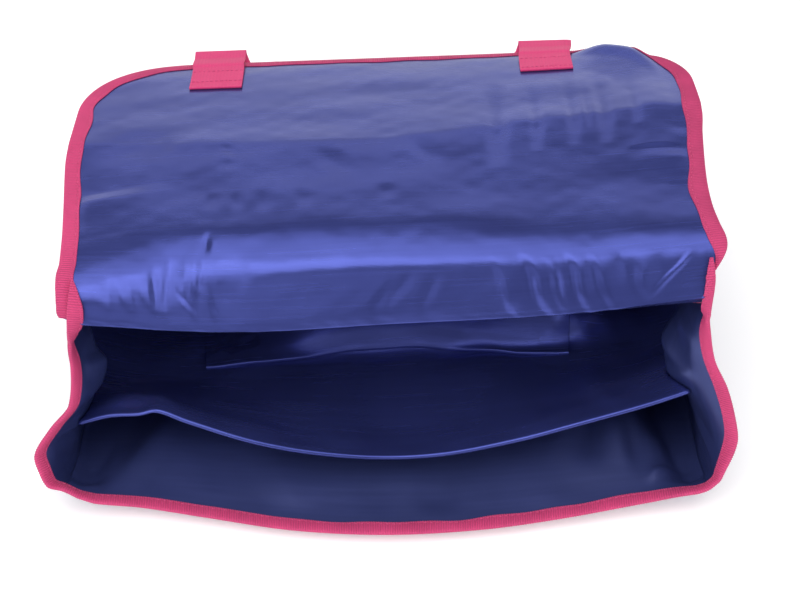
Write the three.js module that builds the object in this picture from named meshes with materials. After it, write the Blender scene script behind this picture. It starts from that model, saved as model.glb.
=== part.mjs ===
// An open school satchel. It lies on its front panel with the mouth towards -Y,
// and its flap is folded back over the back panel, lining side up.
// Millimetres, +Z up. The origin is on the underside of the front panel.

import * as THREE from 'three';

const { clamp, lerp, smoothstep, degToRad } = THREE.MathUtils;

// Cloth, tape and the room left between pieces
const WALL = 1.6;
const SHEET = 1.2;
const HEM = 2;
const CLEAR = 0.4;
const TAPE = 0.7;
const TAPE_WIDTH = 9.3;
const MOUTH_TAPE_WIDTH = 8;
const TAPE_REACH = WALL / 2 + CLEAR + TAPE;

// Body: the front panel lies flat, the gussets and the base stand on it and lean back
const HALF_WIDTH = 172;
const MOUTH_Y = -114;
const BASE_Y = 122;
const MOUTH_LEAN = 50;
const BASE_LEAN = 22;
const TOP_PULL = 4;
const CORNER_ROUND = 30;
const SEAM_ROUND = 10;
const RIM_FADE = 60;

// Back panel, with the flap hinged at its mouth end
const HINGE_Y = -54.5;
const HINGE_Z = 97;
const HINGE_TWIST = 0.04;
const BACK_END_Z = 81;
const BACK = { length: 204, half: 170, round: 44 };

// Flap: length is measured along the cloth from the hinge
const FLAP = { length: 270, half: 171, round: 66 };
const FLAP_ROLL = 66;
const FLAP_TWIST = 0.06;

// Divider and the slip pocket sewn on it
const DIVIDER_SET = 16;
const DIVIDER_LEFT = 0.38;
const DIVIDER_RIGHT = 0.5;
const TROUGH = 20;
const TROUGH_FROM = 65;
const POCKET_HALF = 0.6;
const POCKET_SET = 76;
const POCKET_LENGTH = 70;
const POCKET_GAPE = 8;

// Webbing tabs on the far edge of the flap
const TAB_WIDTH = 30;
const TAB_THICK = 1.6;
const TAB_SKEW = 7;
const TAB_LEFT_X = -99;
const TAB_RIGHT_X = 94;

// Rim of the mouth against a plain one. at: -2 left hinge, -1 left seam, 0 middle of the
// front edge, 1 right seam, 2 right hinge. out is sideways, ahead along Y, lift along Z.
const RIM = [
  { at: -2.00, out: 0.0, ahead: 0.0, lift: 0.0 },
  { at: -1.60, out: 0.0, ahead: -5.0, lift: 6.0 },
  { at: -1.45, out: 8.0, ahead: -6.5, lift: 9.0 },
  { at: -1.30, out: 14.5, ahead: -8.0, lift: 12.0 },
  { at: -1.18, out: 13.5, ahead: -8.5, lift: 15.0 },
  { at: -1.08, out: 9.5, ahead: -7.0, lift: 17.0 },
  { at: -1.00, out: 4.0, ahead: -4.0, lift: 18.0 },
  { at: -0.92, out: 1.0, ahead: -4.0, lift: 16.0 },
  { at: -0.78, out: 0.0, ahead: -5.0, lift: 10.0 },
  { at: -0.58, out: 0.0, ahead: -10.0, lift: 8.0 },
  { at: -0.30, out: 0.0, ahead: -18.0, lift: 7.0 },
  { at: 0.00, out: 0.0, ahead: -21.0, lift: 7.0 },
  { at: 0.30, out: 0.0, ahead: -17.5, lift: 7.0 },
  { at: 0.56, out: 0.0, ahead: -10.5, lift: 7.5 },
  { at: 0.84, out: 0.0, ahead: -2.5, lift: 11.0 },
  { at: 1.00, out: 4.0, ahead: 0.0, lift: 17.0 },
  { at: 1.10, out: 8.5, ahead: -3.0, lift: 16.0 },
  { at: 1.32, out: 15.0, ahead: -5.0, lift: 11.0 },
  { at: 1.45, out: 14.5, ahead: -4.0, lift: 9.0 },
  { at: 1.62, out: 11.0, ahead: -3.0, lift: 5.0 },
  { at: 1.78, out: 4.0, ahead: -1.5, lift: 2.0 },
  { at: 2.00, out: 0.5, ahead: 0.0, lift: 0.0 },
];

// Buckles of the gussets: depth from the mouth, height as a share, push outwards
const GUSSET_FOLDS = [
  { side: -1, depth: 44, height: 0.66, deep: 34, high: 0.33, push: -10 },
  { side: -1, depth: 125, height: 0.50, deep: 70, high: 0.45, push: 6 },
  { side: 1, depth: 46, height: 0.66, deep: 34, high: 0.33, push: -11 },
  { side: 1, depth: 132, height: 0.50, deep: 70, high: 0.45, push: 5 },
];

// Flap profile: heading of the cloth in degrees above +Y, sideways sway, and change of width
const FLAP_PROFILE = [
  { along: 0, heading: 180, sway: -1.5, widen: 0.994 },
  { along: 33, heading: 90, sway: -2.5, widen: 0.992 },
  { along: FLAP_ROLL, heading: 3, sway: 3.0, widen: 1.000 },
  { along: 108, heading: -3, sway: -0.5, widen: 1.000 },
  { along: 145, heading: -5, sway: -2.5, widen: 1.012 },
  { along: 164, heading: -11, sway: -1.2, widen: 1.012 },
  { along: 232, heading: -15, sway: -2.5, widen: 1.006 },
  { along: 256, heading: -22, sway: -2.5, widen: 1.000 },
  { along: 270, heading: -30, sway: -2.0, widen: 1.000 },
];

// Dents and gathers of the flap: middle, direction, half length, half width, height
const FLAP_FOLDS = [
  { x: -130, along: 108, turn: 15, long: 38, wide: 15, high: -4.0 },
  { x: -132, along: 134, turn: 20, long: 34, wide: 22, high: -4.0 },
  { x: -124, along: 84, turn: 4, long: 44, wide: 13, high: -3.0 },
  { x: -112, along: 44, turn: 86, long: 34, wide: 15, high: -3.5 },
  { x: -84, along: 42, turn: 94, long: 32, wide: 14, high: -3.0 },
  { x: 72, along: 44, turn: 112, long: 36, wide: 15, high: 3.0 },
  { x: 108, along: 44, turn: 116, long: 36, wide: 15, high: 3.0 },
  { x: 50, along: 146, turn: 84, long: 40, wide: 16, high: 3.0 },
  { x: 92, along: 148, turn: 80, long: 38, wide: 16, high: 2.5 },
  { x: 130, along: 142, turn: 74, long: 42, wide: 18, high: 3.5 },
  { x: 140, along: 98, turn: 150, long: 34, wide: 18, high: 3.0 },
];

// Hem of the divider against a straight line between the gussets
const DIVIDER_HEM = [
  { at: -1.00, ahead: 0.0, lift: 0.0 },
  { at: -0.90, ahead: 1.5, lift: 1.5 },
  { at: -0.78, ahead: -0.5, lift: 6.0 },
  { at: -0.64, ahead: -6.5, lift: -2.0 },
  { at: -0.43, ahead: -13.5, lift: -11.0 },
  { at: -0.23, ahead: -16.0, lift: -20.0 },
  { at: 0.00, ahead: -16.0, lift: -26.5 },
  { at: 0.21, ahead: -16.0, lift: -25.5 },
  { at: 0.45, ahead: -14.5, lift: -20.0 },
  { at: 0.65, ahead: -12.0, lift: -12.0 },
  { at: 0.86, ahead: -6.0, lift: -5.0 },
  { at: 1.00, ahead: 0.0, lift: 0.0 },
];

// Course of a tab over the flap's edge: past the edge, and above the cloth's middle
const TAB_COURSE = [
  { past: -40.0, above: 2.0 },
  { past: -26.0, above: 2.0 },
  { past: -15.0, above: 2.2 },
  { past: -10.0, above: 3.2 },
  { past: 0.0, above: 3.3 },
  { past: 5.0, above: 4.6 },
  { past: 10.0, above: 6.2 },
  { past: 13.5, above: 5.4 },
  { past: 12.0, above: 3.2 },
  { past: 7.5, above: 0.6 },
  { past: 4.4, above: -1.8 },
  { past: 0.5, above: -3.4 },
  { past: -10.0, above: -3.3 },
  { past: -16.0, above: -2.2 },
  { past: -28.0, above: -2.0 },
];

const LINING = { color: '#565f9f', roughness: 0.42, metalness: 0 };
const BINDING = { color: '#d9558a', roughness: 0.8, metalness: 0 };
const WEBBING = { color: '#e65a90', roughness: 0.75, metalness: 0 };

const bag = new THREE.Group();
bag.name = 'school_bag';

// A table's column read at any place, as a smooth curve through its rows
function read(table, key, name, place) {
  const last = table.length - 1;
  const at = clamp(place, table[0][key], table[last][key]);
  let i = 0;
  while (i < last - 1 && table[i + 1][key] < at) i += 1;
  const slope = (k) => {
    const before = table[Math.max(k - 1, 0)];
    const after = table[Math.min(k + 1, last)];
    return (after[name] - before[name]) / (after[key] - before[key]);
  };
  const span = table[i + 1][key] - table[i][key];
  const t = (at - table[i][key]) / span;
  const straight = lerp(table[i][name], table[i + 1][name], t);
  const rise = table[i + 1][name] - table[i][name];
  const leave = slope(i) * span - rise;
  const arrive = slope(i + 1) * span - rise;
  return straight + t * (1 - t) * (leave * (1 - t) - arrive * t);
}

const bump = (t) => (Math.abs(t) < 1 ? Math.cos((t * Math.PI) / 2) ** 2 : 0);

// Evenly spaced places from one value to another
function spread(from, to, count) {
  return Array.from({ length: count + 1 }, (_, i) => lerp(from, to, i / count));
}

// Unit normal of a surface given by two coordinates
function normalOn(surface, a, b, step) {
  const across = surface(a + step, b).sub(surface(a - step, b));
  const down = surface(a, b + 0.1).sub(surface(a, b - 0.1));
  return across.cross(down).normalize();
}

function addPiece(name, geometry, look) {
  geometry.deleteAttribute('uv');
  geometry.computeVertexNormals();
  const mesh = new THREE.Mesh(geometry, new THREE.MeshStandardMaterial(look));
  mesh.name = name;
  bag.add(mesh);
}

// A cloth panel: a fine box laid along a surface. rows are { along, half, thick },
// and columns are places across, in units of half.
function addPanel(name, surface, columns, rows, look, step = 0.1) {
  const nu = columns.length - 1;
  const nv = rows.length - 1;
  const geometry = new THREE.BoxGeometry(1, 1, 1, nu, nv, 1);
  const place = geometry.attributes.position;
  for (let k = 0; k < place.count; k += 1) {
    const row = rows[Math.round((place.getY(k) + 0.5) * nv)];
    const a = columns[Math.round((place.getX(k) + 0.5) * nu)] * row.half;
    const point = surface(a, row.along);
    point.addScaledVector(normalOn(surface, a, row.along, step), place.getZ(k) * row.thick);
    place.setXYZ(k, point.x, point.y, point.z);
  }
  addPiece(name, geometry, look);
}

// Tape folded over the edge of a panel. nodes are { a, along, inA, inAlong }: the places
// along the edge, and the way into the cloth.
function addTape(name, surface, nodes, width, step = 0.1) {
  const inner = WALL / 2 + CLEAR;
  const section = new THREE.Shape([
    new THREE.Vector2(-CLEAR - TAPE, -TAPE_REACH),
    new THREE.Vector2(width, -TAPE_REACH),
    new THREE.Vector2(width, -inner),
    new THREE.Vector2(width / 2, -inner),
    new THREE.Vector2(-CLEAR, -inner),
    new THREE.Vector2(-CLEAR, inner),
    new THREE.Vector2(width / 2, inner),
    new THREE.Vector2(width, inner),
    new THREE.Vector2(width, TAPE_REACH),
    new THREE.Vector2(-CLEAR - TAPE, TAPE_REACH),
  ]);
  const steps = nodes.length - 1;
  const geometry = new THREE.ExtrudeGeometry(section, { depth: steps, steps, bevelEnabled: false });
  const place = geometry.attributes.position;
  for (let k = 0; k < place.count; k += 1) {
    const node = nodes[Math.round(place.getZ(k))];
    const a = node.a + node.inA * place.getX(k);
    const along = node.along + node.inAlong * place.getX(k);
    const point = surface(a, along);
    point.addScaledVector(normalOn(surface, a, along, step), place.getY(k));
    place.setXYZ(k, point.x, point.y, point.z);
  }
  addPiece(name, geometry, BINDING);
}

// Rows and edge of a tongue: straight sides and two rounded corners at the far end
function tongueRows(shape, straightRows, cornerSteps) {
  const rows = straightRows.map((along) => ({ along, half: shape.half, thick: WALL }));
  for (let k = 1; k <= cornerSteps; k += 1) {
    const turn = (k / cornerSteps) * (Math.PI / 2);
    rows.push({
      along: shape.length - shape.round * (1 - Math.sin(turn)),
      half: shape.half - shape.round * (1 - Math.cos(turn)),
      thick: WALL,
    });
  }
  return rows;
}

function tongueEdge(shape, straightRows, cornerSteps, endSteps) {
  const right = straightRows.map((along) => ({ a: shape.half, along, inA: -1, inAlong: 0 }));
  for (let k = 1; k <= cornerSteps; k += 1) {
    const turn = (k / cornerSteps) * (Math.PI / 2);
    right.push({
      a: shape.half - shape.round * (1 - Math.cos(turn)),
      along: shape.length - shape.round * (1 - Math.sin(turn)),
      inA: -Math.cos(turn),
      inAlong: -Math.sin(turn),
    });
  }
  const left = right.map((node) => ({ ...node, a: -node.a, inA: -node.inA })).reverse();
  const flat = shape.half - shape.round;
  const end = spread(flat, -flat, endSteps).slice(1, -1);
  const far = end.map((a) => ({ a, along: shape.length, inA: 0, inAlong: -1 }));
  return [...right, ...far, ...left];
}

// Back panel: a slightly twisted plane that falls towards the base
function backHeight(x, y) {
  const share = clamp((y - HINGE_Y) / BACK.length, 0, 1);
  return lerp(HINGE_Z, BACK_END_Z, share) + x * HINGE_TWIST * (1 - share);
}

const back = (x, along) => {
  const y = HINGE_Y + along;
  return new THREE.Vector3(x, y, backHeight(x, y));
};

// Body walls: the outline seen from above, and the height of the walls on it
const STRAIGHT = BASE_Y - CORNER_ROUND - MOUTH_Y;
const DEPTH = STRAIGHT + (CORNER_ROUND * Math.PI) / 2;
const SEAM_INSET = SEAM_ROUND * (1 - Math.SQRT1_2);
const SEAM_ARC = (SEAM_ROUND * Math.PI) / 4;

function plan(depth, inset) {
  const turn = Math.max(0, depth - STRAIGHT) / CORNER_ROUND;
  const reach = CORNER_ROUND - inset;
  return {
    x: HALF_WIDTH - CORNER_ROUND + reach * Math.cos(turn),
    y: MOUTH_Y + Math.min(depth, STRAIGHT) + reach * Math.sin(turn),
    turn,
  };
}

// Height and inset of a wall at a share of its height, from the soft turn at the floor
function wallRise(share, top) {
  const rise = share * (SEAM_ARC + top - SEAM_ROUND);
  if (rise > SEAM_ARC) return { inset: 0, z: SEAM_ROUND + rise - SEAM_ARC };
  const turn = Math.PI / 4 - rise / SEAM_ROUND;
  return { inset: SEAM_ROUND * (1 - Math.cos(turn)), z: SEAM_ROUND * (1 - Math.sin(turn)) };
}

const wallTop = (x, y) => backHeight(x, y) - TAPE_REACH - CLEAR - WALL / 2;

function gusset(side, depth, share) {
  const lean = lerp(MOUTH_LEAN, BASE_LEAN, clamp(depth / DEPTH, 0, 1));
  const foot = plan(depth, 0);
  const top = wallTop(side * foot.x, foot.y + lean);
  const { inset, z } = wallRise(share, top);
  const spot = plan(depth, inset);
  let push = -TOP_PULL * (z / top);
  for (const fold of GUSSET_FOLDS) {
    if (fold.side !== side) continue;
    const reach = bump((depth - fold.depth) / fold.deep) * bump((share - fold.height) / fold.high);
    push += fold.push * reach;
  }
  return new THREE.Vector3(
    side * (spot.x + push * Math.cos(spot.turn)),
    spot.y + push * Math.sin(spot.turn) + lean * (z / top),
    z + WALL / 2,
  );
}

function front(share, depth) {
  const edge = plan(depth, SEAM_INSET);
  const x = share * edge.x;
  const past = new THREE.Vector2(
    Math.max(Math.abs(x) - HALF_WIDTH + CORNER_ROUND, 0),
    Math.max(edge.y - BASE_Y + CORNER_ROUND, 0),
  );
  const inset = Math.min(CORNER_ROUND - past.length(), SEAM_ROUND);
  const fall = SEAM_ROUND - inset;
  const z = SEAM_ROUND - Math.sqrt(SEAM_ROUND ** 2 - fall ** 2);
  return new THREE.Vector3(x, edge.y, z + WALL / 2);
}

// The three walls round the mouth as one surface, from hinge to hinge
const wall = (at, depth) => {
  const side = Math.sign(at);
  const point = Math.abs(at) > 1 ? gusset(side, depth, Math.abs(at) - 1) : front(at, depth);
  const fade = depth < RIM_FADE ? (1 - depth / RIM_FADE) ** 2 : 0;
  point.x += side * read(RIM, 'at', 'out', at) * fade;
  point.y += read(RIM, 'at', 'ahead', at) * fade;
  point.z += read(RIM, 'at', 'lift', at) * fade;
  return point;
};

const base = (x, share) => {
  const top = wallTop(x, BASE_Y + BASE_LEAN);
  const { inset, z } = wallRise(share, top);
  const push = -TOP_PULL * (z / top);
  return new THREE.Vector3(x, BASE_Y - inset + push + BASE_LEAN * (z / top), z + WALL / 2);
};

const WALL_STEP = 0.001;
const SEAM_GAP = CLEAR / 2;
const FRONT_EDGE = 1 - SEAM_GAP / HALF_WIDTH;
const GUSSET_EDGE = 1 + SEAM_GAP / HINGE_Z;

const gussetShares = [GUSSET_EDGE, 1.045, 1.09, 1.16, 1.24, 1.32, 1.4, 1.5, 1.6, 1.72, 1.85, 2];
const frontShares = spread(-1, 1, 20).map((t) => {
  return Math.sign(t) * Math.min(1 - (1 - Math.abs(t)) ** 2.2, FRONT_EDGE);
});
const bodyDepths = [0, 5, 10, 18, 30, 48, 76, 106, 146, ...spread(STRAIGHT, DEPTH, 4)];
const bodyRows = bodyDepths.map((along) => ({
  along: Math.min(along, DEPTH - SEAM_GAP),
  half: 1,
  thick: WALL,
}));

addPanel('front_panel', wall, frontShares, bodyRows, LINING, WALL_STEP);
const leftShares = gussetShares.map((at) => -at).reverse();
addPanel('gusset_left', wall, leftShares, bodyRows, LINING, WALL_STEP);
addPanel('gusset_right', wall, gussetShares, bodyRows, LINING, WALL_STEP);

const baseHalf = HALF_WIDTH - CORNER_ROUND - SEAM_GAP;
const baseUp = (x, up) => base(x, up / HINGE_Z);
const baseRows = gussetShares.map((at) => ({ along: (at - 1) * HINGE_Z, half: baseHalf, thick: WALL }));
addPanel('base_panel', baseUp, spread(-1, 1, 6), baseRows, LINING);

const backRows = [SEAM_GAP, ...spread(0, BACK.length - BACK.round, 5).slice(1)];
addPanel('back_panel', back, spread(-1, 1, 8), tongueRows(BACK, backRows, 6), LINING);

// Flap: the profile is walked in short steps, then the twist, the sway and the folds are added
const WALK = 0.5;
const course = [new THREE.Vector2(HINGE_Y, HINGE_Z)];
for (let along = WALK / 2; along < FLAP.length + 2 * TAPE_WIDTH; along += WALK) {
  const heading = degToRad(read(FLAP_PROFILE, 'along', 'heading', along));
  const from = course[course.length - 1];
  course.push(new THREE.Vector2(
    from.x + WALK * Math.cos(heading),
    from.y + WALK * Math.sin(heading),
  ));
}

function courseAt(along) {
  const place = clamp(along / WALK, 0, course.length - 1.001);
  const i = Math.floor(place);
  const spot = course[i].clone().lerp(course[i + 1], place - i);
  spot.x -= Math.min(along, 0);
  return spot;
}

function flapFolds(x, along) {
  let height = 0;
  for (const fold of FLAP_FOLDS) {
    const turn = degToRad(fold.turn);
    const dx = x - fold.x;
    const ds = along - fold.along;
    const lengthwise = dx * Math.cos(turn) + ds * Math.sin(turn);
    const crosswise = ds * Math.cos(turn) - dx * Math.sin(turn);
    height += fold.high * bump(lengthwise / fold.long) * bump(crosswise / fold.wide);
  }
  return height;
}

const flap = (x, along) => {
  const spot = courseAt(along);
  const heading = degToRad(read(FLAP_PROFILE, 'along', 'heading', along));
  const high = flapFolds(x, along);
  const twist = lerp(HINGE_TWIST, FLAP_TWIST, clamp(along / FLAP.length, 0, 1));
  return new THREE.Vector3(
    x * read(FLAP_PROFILE, 'along', 'widen', along) + read(FLAP_PROFILE, 'along', 'sway', along),
    spot.x - high * Math.sin(heading),
    spot.y + high * Math.cos(heading) + x * twist,
  );
};

const flapRoll = [SEAM_GAP, ...spread(0, FLAP_ROLL, 10).slice(1)];
const flapSides = [...flapRoll, ...spread(FLAP_ROLL, FLAP.length - FLAP.round, 13).slice(1)];
addPanel('flap', flap, spread(-1, 1, 32), tongueRows(FLAP, flapSides, 6), LINING);

// Divider, hung between the gussets, and the pocket on it
function hung(at, depth) {
  const inward = WALL / 2 + 3 * CLEAR;
  return wall(at, depth).addScaledVector(normalOn(wall, at, depth, WALL_STEP), inward);
}

const divider = (share, depth) => {
  const left = hung(-1 - DIVIDER_LEFT, depth);
  const right = hung(1 + DIVIDER_RIGHT, depth);
  const point = left.lerp(right, (share + 1) / 2);
  const deep = smoothstep(depth, DIVIDER_SET, TROUGH_FROM);
  const sag = lerp(read(DIVIDER_HEM, 'at', 'lift', share), TROUGH * (share ** 6 - 1), deep);
  point.z += sag * (1 - smoothstep(depth, STRAIGHT * 0.7, DEPTH));
  point.y += read(DIVIDER_HEM, 'at', 'ahead', share) * (1 - deep);
  return point;
};

const dividerDepths = [DIVIDER_SET, 24, 25.5, ...bodyDepths.slice(4, -1), DEPTH - 2];
const dividerRows = dividerDepths.map((along, i) => ({ along, half: 1, thick: i < 2 ? HEM : SHEET }));
addPanel('divider', divider, spread(-1, 1, 20), dividerRows, LINING, WALL_STEP);

const pocket = (share, depth) => {
  const point = divider(share, depth);
  const along = (depth - POCKET_SET) / POCKET_LENGTH;
  const gape = POCKET_GAPE * bump(share / POCKET_HALF) * clamp(1 - along, 0, 1) ** 2;
  const rest = SHEET / 2 + HEM / 2 + CLEAR;
  return point.addScaledVector(normalOn(divider, share, depth, WALL_STEP), rest + gape);
};

const pocketDepths = [0, 11, 12.5, 30, POCKET_LENGTH];
const pocketRows = pocketDepths.map((along, i) => ({
  along: POCKET_SET + along,
  half: POCKET_HALF,
  thick: i < 2 ? HEM : SHEET,
}));
addPanel('inner_pocket', pocket, spread(-1, 1, 12), pocketRows, LINING, WALL_STEP);

// Pink tape round the mouth, the flap and the back panel
const mouthPlaces = [...leftShares, ...frontShares, ...gussetShares];
const mouthNodes = mouthPlaces.map((a) => ({ a, along: 0, inA: 0, inAlong: 1 }));
addTape('mouth_binding', wall, mouthNodes, MOUTH_TAPE_WIDTH, WALL_STEP);

addTape('flap_binding', flap, tongueEdge(FLAP, flapSides, 6, 8), TAPE_WIDTH);
addTape('back_binding', back, tongueEdge(BACK, backRows, 6, 4), TAPE_WIDTH);

// Webbing tabs looped over the far edge of the flap
const tabCourse = new THREE.CatmullRomCurve3(
  TAB_COURSE.map((row) => new THREE.Vector3(row.past, row.above, 0)),
);
const TAB_STEPS = 22;

function addTab(name, middle) {
  const inward = -Math.sign(middle);
  const surface = (across, place) => {
    const t = clamp(place / TAB_STEPS, 0, 1);
    const spot = tabCourse.getPoint(t);
    const x = middle + across + inward * TAB_SKEW * smoothstep(t, 0.5, 0.9);
    const along = FLAP.length + spot.x;
    return flap(x, along).addScaledVector(normalOn(flap, x, along, 0.1), spot.y);
  };
  const rows = spread(0, TAB_STEPS, TAB_STEPS).map((along) => ({
    along,
    half: TAB_WIDTH / 2,
    thick: TAB_THICK,
  }));
  addPanel(name, surface, spread(-1, 1, 2), rows, WEBBING);
}

addTab('tab_left', TAB_LEFT_X);
addTab('tab_right', TAB_RIGHT_X);

export default bag;
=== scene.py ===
# %% [markdown]
# # An open school bag
# A nylon school bag lies on its front panel with the mouth towards us. Its flap is folded
# back over the back panel, so the shiny lining shows, and pink ribbed tape binds every edge.
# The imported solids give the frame, and each of them is replaced here by a finer piece of
# cloth, tape or webbing that follows the same surface. Shapes are worked out in millimetres
# and turned into metres when a mesh is laid.

# %% The frame
import math

import bmesh
import bpy
import numpy as np
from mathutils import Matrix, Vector


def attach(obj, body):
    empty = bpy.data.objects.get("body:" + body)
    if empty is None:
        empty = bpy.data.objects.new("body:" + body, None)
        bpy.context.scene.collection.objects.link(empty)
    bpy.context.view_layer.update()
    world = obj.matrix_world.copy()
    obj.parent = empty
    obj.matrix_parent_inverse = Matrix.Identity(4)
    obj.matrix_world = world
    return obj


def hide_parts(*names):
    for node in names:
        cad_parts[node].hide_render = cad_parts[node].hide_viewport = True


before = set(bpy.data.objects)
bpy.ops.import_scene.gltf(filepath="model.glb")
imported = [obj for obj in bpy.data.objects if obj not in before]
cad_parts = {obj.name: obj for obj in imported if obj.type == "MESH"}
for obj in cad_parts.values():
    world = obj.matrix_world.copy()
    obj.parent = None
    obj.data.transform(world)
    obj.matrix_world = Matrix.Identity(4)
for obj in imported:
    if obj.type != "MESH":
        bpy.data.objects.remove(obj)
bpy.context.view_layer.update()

MM = 0.001
print("solids in the frame:", sorted(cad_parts))

# %% [markdown]
# The camera comes first, because every later choice is judged through it. It could be moved by
# hand until the picture fits, but numbers don't drift. The photograph looks down at 46 degrees
# through a long lens, so a lens of about 105 mm on a 36 mm sensor is set a good metre away, level
# and square to the bag.

# %% Camera
CAMERA_RISE = math.radians(46)
CAMERA_AWAY = 1.3
CAMERA_AIM = Vector((0.0067, -0.01166, 0.06))
CAMERA_LENS = 105.3

scene = bpy.context.scene
camera = bpy.data.objects.new("camera", bpy.data.cameras.new("camera"))
scene.collection.objects.link(camera)
camera.data.lens = CAMERA_LENS
back_and_up = Vector((0, -math.cos(CAMERA_RISE), math.sin(CAMERA_RISE)))
camera.location = CAMERA_AIM + CAMERA_AWAY * back_and_up
camera.rotation_euler = (math.pi / 2 - CAMERA_RISE, 0, 0)
scene.camera = camera
print("camera at", [round(v, 3) for v in camera.location])

# %% [markdown]
# Cloth shapes are easiest to describe as a curve read from a short table: a few places along an
# edge, and how far the cloth strays there. They could be pulled into shape in sculpt mode, but a
# table can be corrected one row at a time. The reader below draws a smooth curve through the rows
# for a whole array of places at once, so thousands of vertices cost almost nothing.

# %% Tables and curves


def table(columns, *rows):
    """Rows of numbers under named columns."""
    return dict(zip(columns.split(), np.array(rows, float).T))


def each(rows):
    """The rows of a table one by one, each as a dictionary."""
    for numbers in zip(*rows.values()):
        yield dict(zip(rows, numbers))


def read(rows, key, name, place):
    """A column at any place along the key column, as a smooth curve through the rows."""
    at, value = rows[key], rows[name]
    last = len(at) - 1
    before = np.maximum(np.arange(last + 1) - 1, 0)
    after = np.minimum(np.arange(last + 1) + 1, last)
    slope = (value[after] - value[before]) / (at[after] - at[before])
    place = np.clip(place, at[0], at[-1])
    i = np.clip(np.searchsorted(at, place, side="right") - 1, 0, last - 1)
    span = at[i + 1] - at[i]
    t = (place - at[i]) / span
    rise = value[i + 1] - value[i]
    leave = slope[i] * span - rise
    arrive = slope[i + 1] * span - rise
    return value[i] + rise * t + t * (1 - t) * (leave * (1 - t) - arrive * t)


def mix(a, b, t):
    return a + (b - a) * t


def joined(*parts):
    """Rows of numbers from their columns, each of which is one number or an array."""
    return np.stack(np.broadcast_arrays(*parts), axis=-1).astype(float)


climb = table("at high", (0, 0), (2, 4))
print("halfway up to 4 a table reads", read(climb, "at", "high", 1.0))

# %% [markdown]
# Folds are sums of a few simple profiles: a round hump for slack cloth, two straight sides that
# meet in a soft ridge for a pleat, and seeded waves for what is irregular. An ease lets one form
# run into the next. Simulated cloth folds too, but not where the real bag does, so each fold is
# given its own place and raised along the cloth's normal.

# %% Humps, eases and folds
RIDGE_SOFT = 0.12
WAVES = 14
WAVE_RANGE = (0.7, 1.5)
FINE_STEP = 0.1


def bump(t):
    """A round hump, 1 in the middle and 0 from -1 and 1 on."""
    return np.where(np.abs(t) < 1, np.cos(np.clip(t, -1, 1) * np.pi / 2) ** 2, 0.0)


def ridge(t):
    """Two straight sides that meet in a soft ridge, 1 in the middle and 0 from about -1 and 1 on."""
    return np.clip(1 - np.sqrt(t**2 + RIDGE_SOFT**2) + RIDGE_SOFT, 0, 1)


def smooth(t, start, end):
    """An even ease from 0 at start to 1 at end."""
    t = np.clip((t - start) / (end - start), 0, 1)
    return t * t * (3 - 2 * t)


def window(t, rise, fall):
    """1 between two eases, each given by its start and end, and 0 outside them."""
    return smooth(t, *rise) * (1 - smooth(t, *fall))


def ripple(x, y, high, wave, seed):
    """Smooth irregular waves about this high: many plane waves of about one length, seeded."""
    draw = np.random.default_rng(seed)
    height = np.zeros(np.broadcast(x, y).shape)
    for _ in range(WAVES):
        turn = math.pi * (draw.random() - 0.5)
        turns = 2 * np.pi / (wave * draw.uniform(*WAVE_RANGE))
        phase = draw.uniform(0, 2 * np.pi)
        height = height + np.cos(turns * (x * np.cos(turn) + y * np.sin(turn)) + phase)
    return height * high * math.sqrt(2 / WAVES)


def creases(rows, x, along, profile=ridge):
    """Sum of pleats, each with its own place, direction and size, its crest set off-centre by lean."""
    height = np.zeros(np.broadcast(x, along).shape)
    for row in each(rows):
        turn = math.radians(row["turn"])
        dx, ds = x - row["x"], along - row["along"]
        lengthwise = dx * math.cos(turn) + ds * math.sin(turn)
        crosswise = (ds * math.cos(turn) - dx * math.sin(turn)) / row["wide"] - row["lean"]
        side = np.where(crosswise < 0, 1 + row["lean"], 1 - row["lean"])
        height = height + row["high"] * bump(lengthwise / row["long"]) * profile(crosswise / side)
    return height


def normal_on(surface, a, b, step=FINE_STEP):
    """Unit normals of a surface given by two coordinates; step is how far the first one is varied."""
    across = surface(a + step, b) - surface(a - step, b)
    down = surface(a, b + FINE_STEP) - surface(a, b - FINE_STEP)
    normal = np.cross(across, down)
    return normal / np.linalg.norm(normal, axis=-1, keepdims=True)


print("halfway down, a hump is", bump(0.5).round(2), "high and a ridge", ridge(0.5).round(2))

# %% [markdown]
# The body of the bag is three walls in one: the front panel on the floor and a gusset standing at
# each side. Three meshes could be joined by hand, but their seams would part at every correction.
# One surface carries all three instead: one coordinate runs round the mouth from hinge to hinge,
# the other runs down into the bag. Its sizes are those of the solids.

# %% Sizes of the body
WALL = 1.6
CLEAR = 0.4
HALF_WIDTH = 172
MOUTH_Y = -114
BASE_Y = 122
CORNER_ROUND = 30
SEAM_ROUND = 10
HINGE_Y = -54.5
HINGE_Z = 97

STRAIGHT = BASE_Y - CORNER_ROUND - MOUTH_Y
DEPTH = STRAIGHT + CORNER_ROUND * math.pi / 2
SEAM_INSET = SEAM_ROUND * (1 - math.sqrt(0.5))
SEAM_ARC = SEAM_ROUND * math.pi / 4
print("the body is", 2 * HALF_WIDTH, "mm wide, and a wall is", round(DEPTH), "mm deep")

# %% [markdown]
# A gusset is a soft side wall. It turns up from the floor in a small round, leans back to meet the
# back panel and buckles inwards at the mouth, where the bag is folded flat. The big buckles are
# pushes along the wall's outward direction, each with a place and a reach, which keeps the seams
# at the floor and at the top where they are.

# %% Gussets and front panel
MOUTH_LEAN = 50
BASE_LEAN = 22
TOP_PULL = 4
TAPE_REACH = 1.9
HINGE_TWIST = 0.04
BACK_END_Z = 81
BACK_LENGTH = 204

GUSSET_FOLDS = table(
    "side depth height deep high push",
    (-1, 27, 0.58, 26, 0.42, -12),
    (-1, 125, 0.50, 70, 0.45, 6),
    (1, 34, 0.60, 32, 0.40, -15),
    (1, 132, 0.50, 70, 0.45, 5),
)


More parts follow.
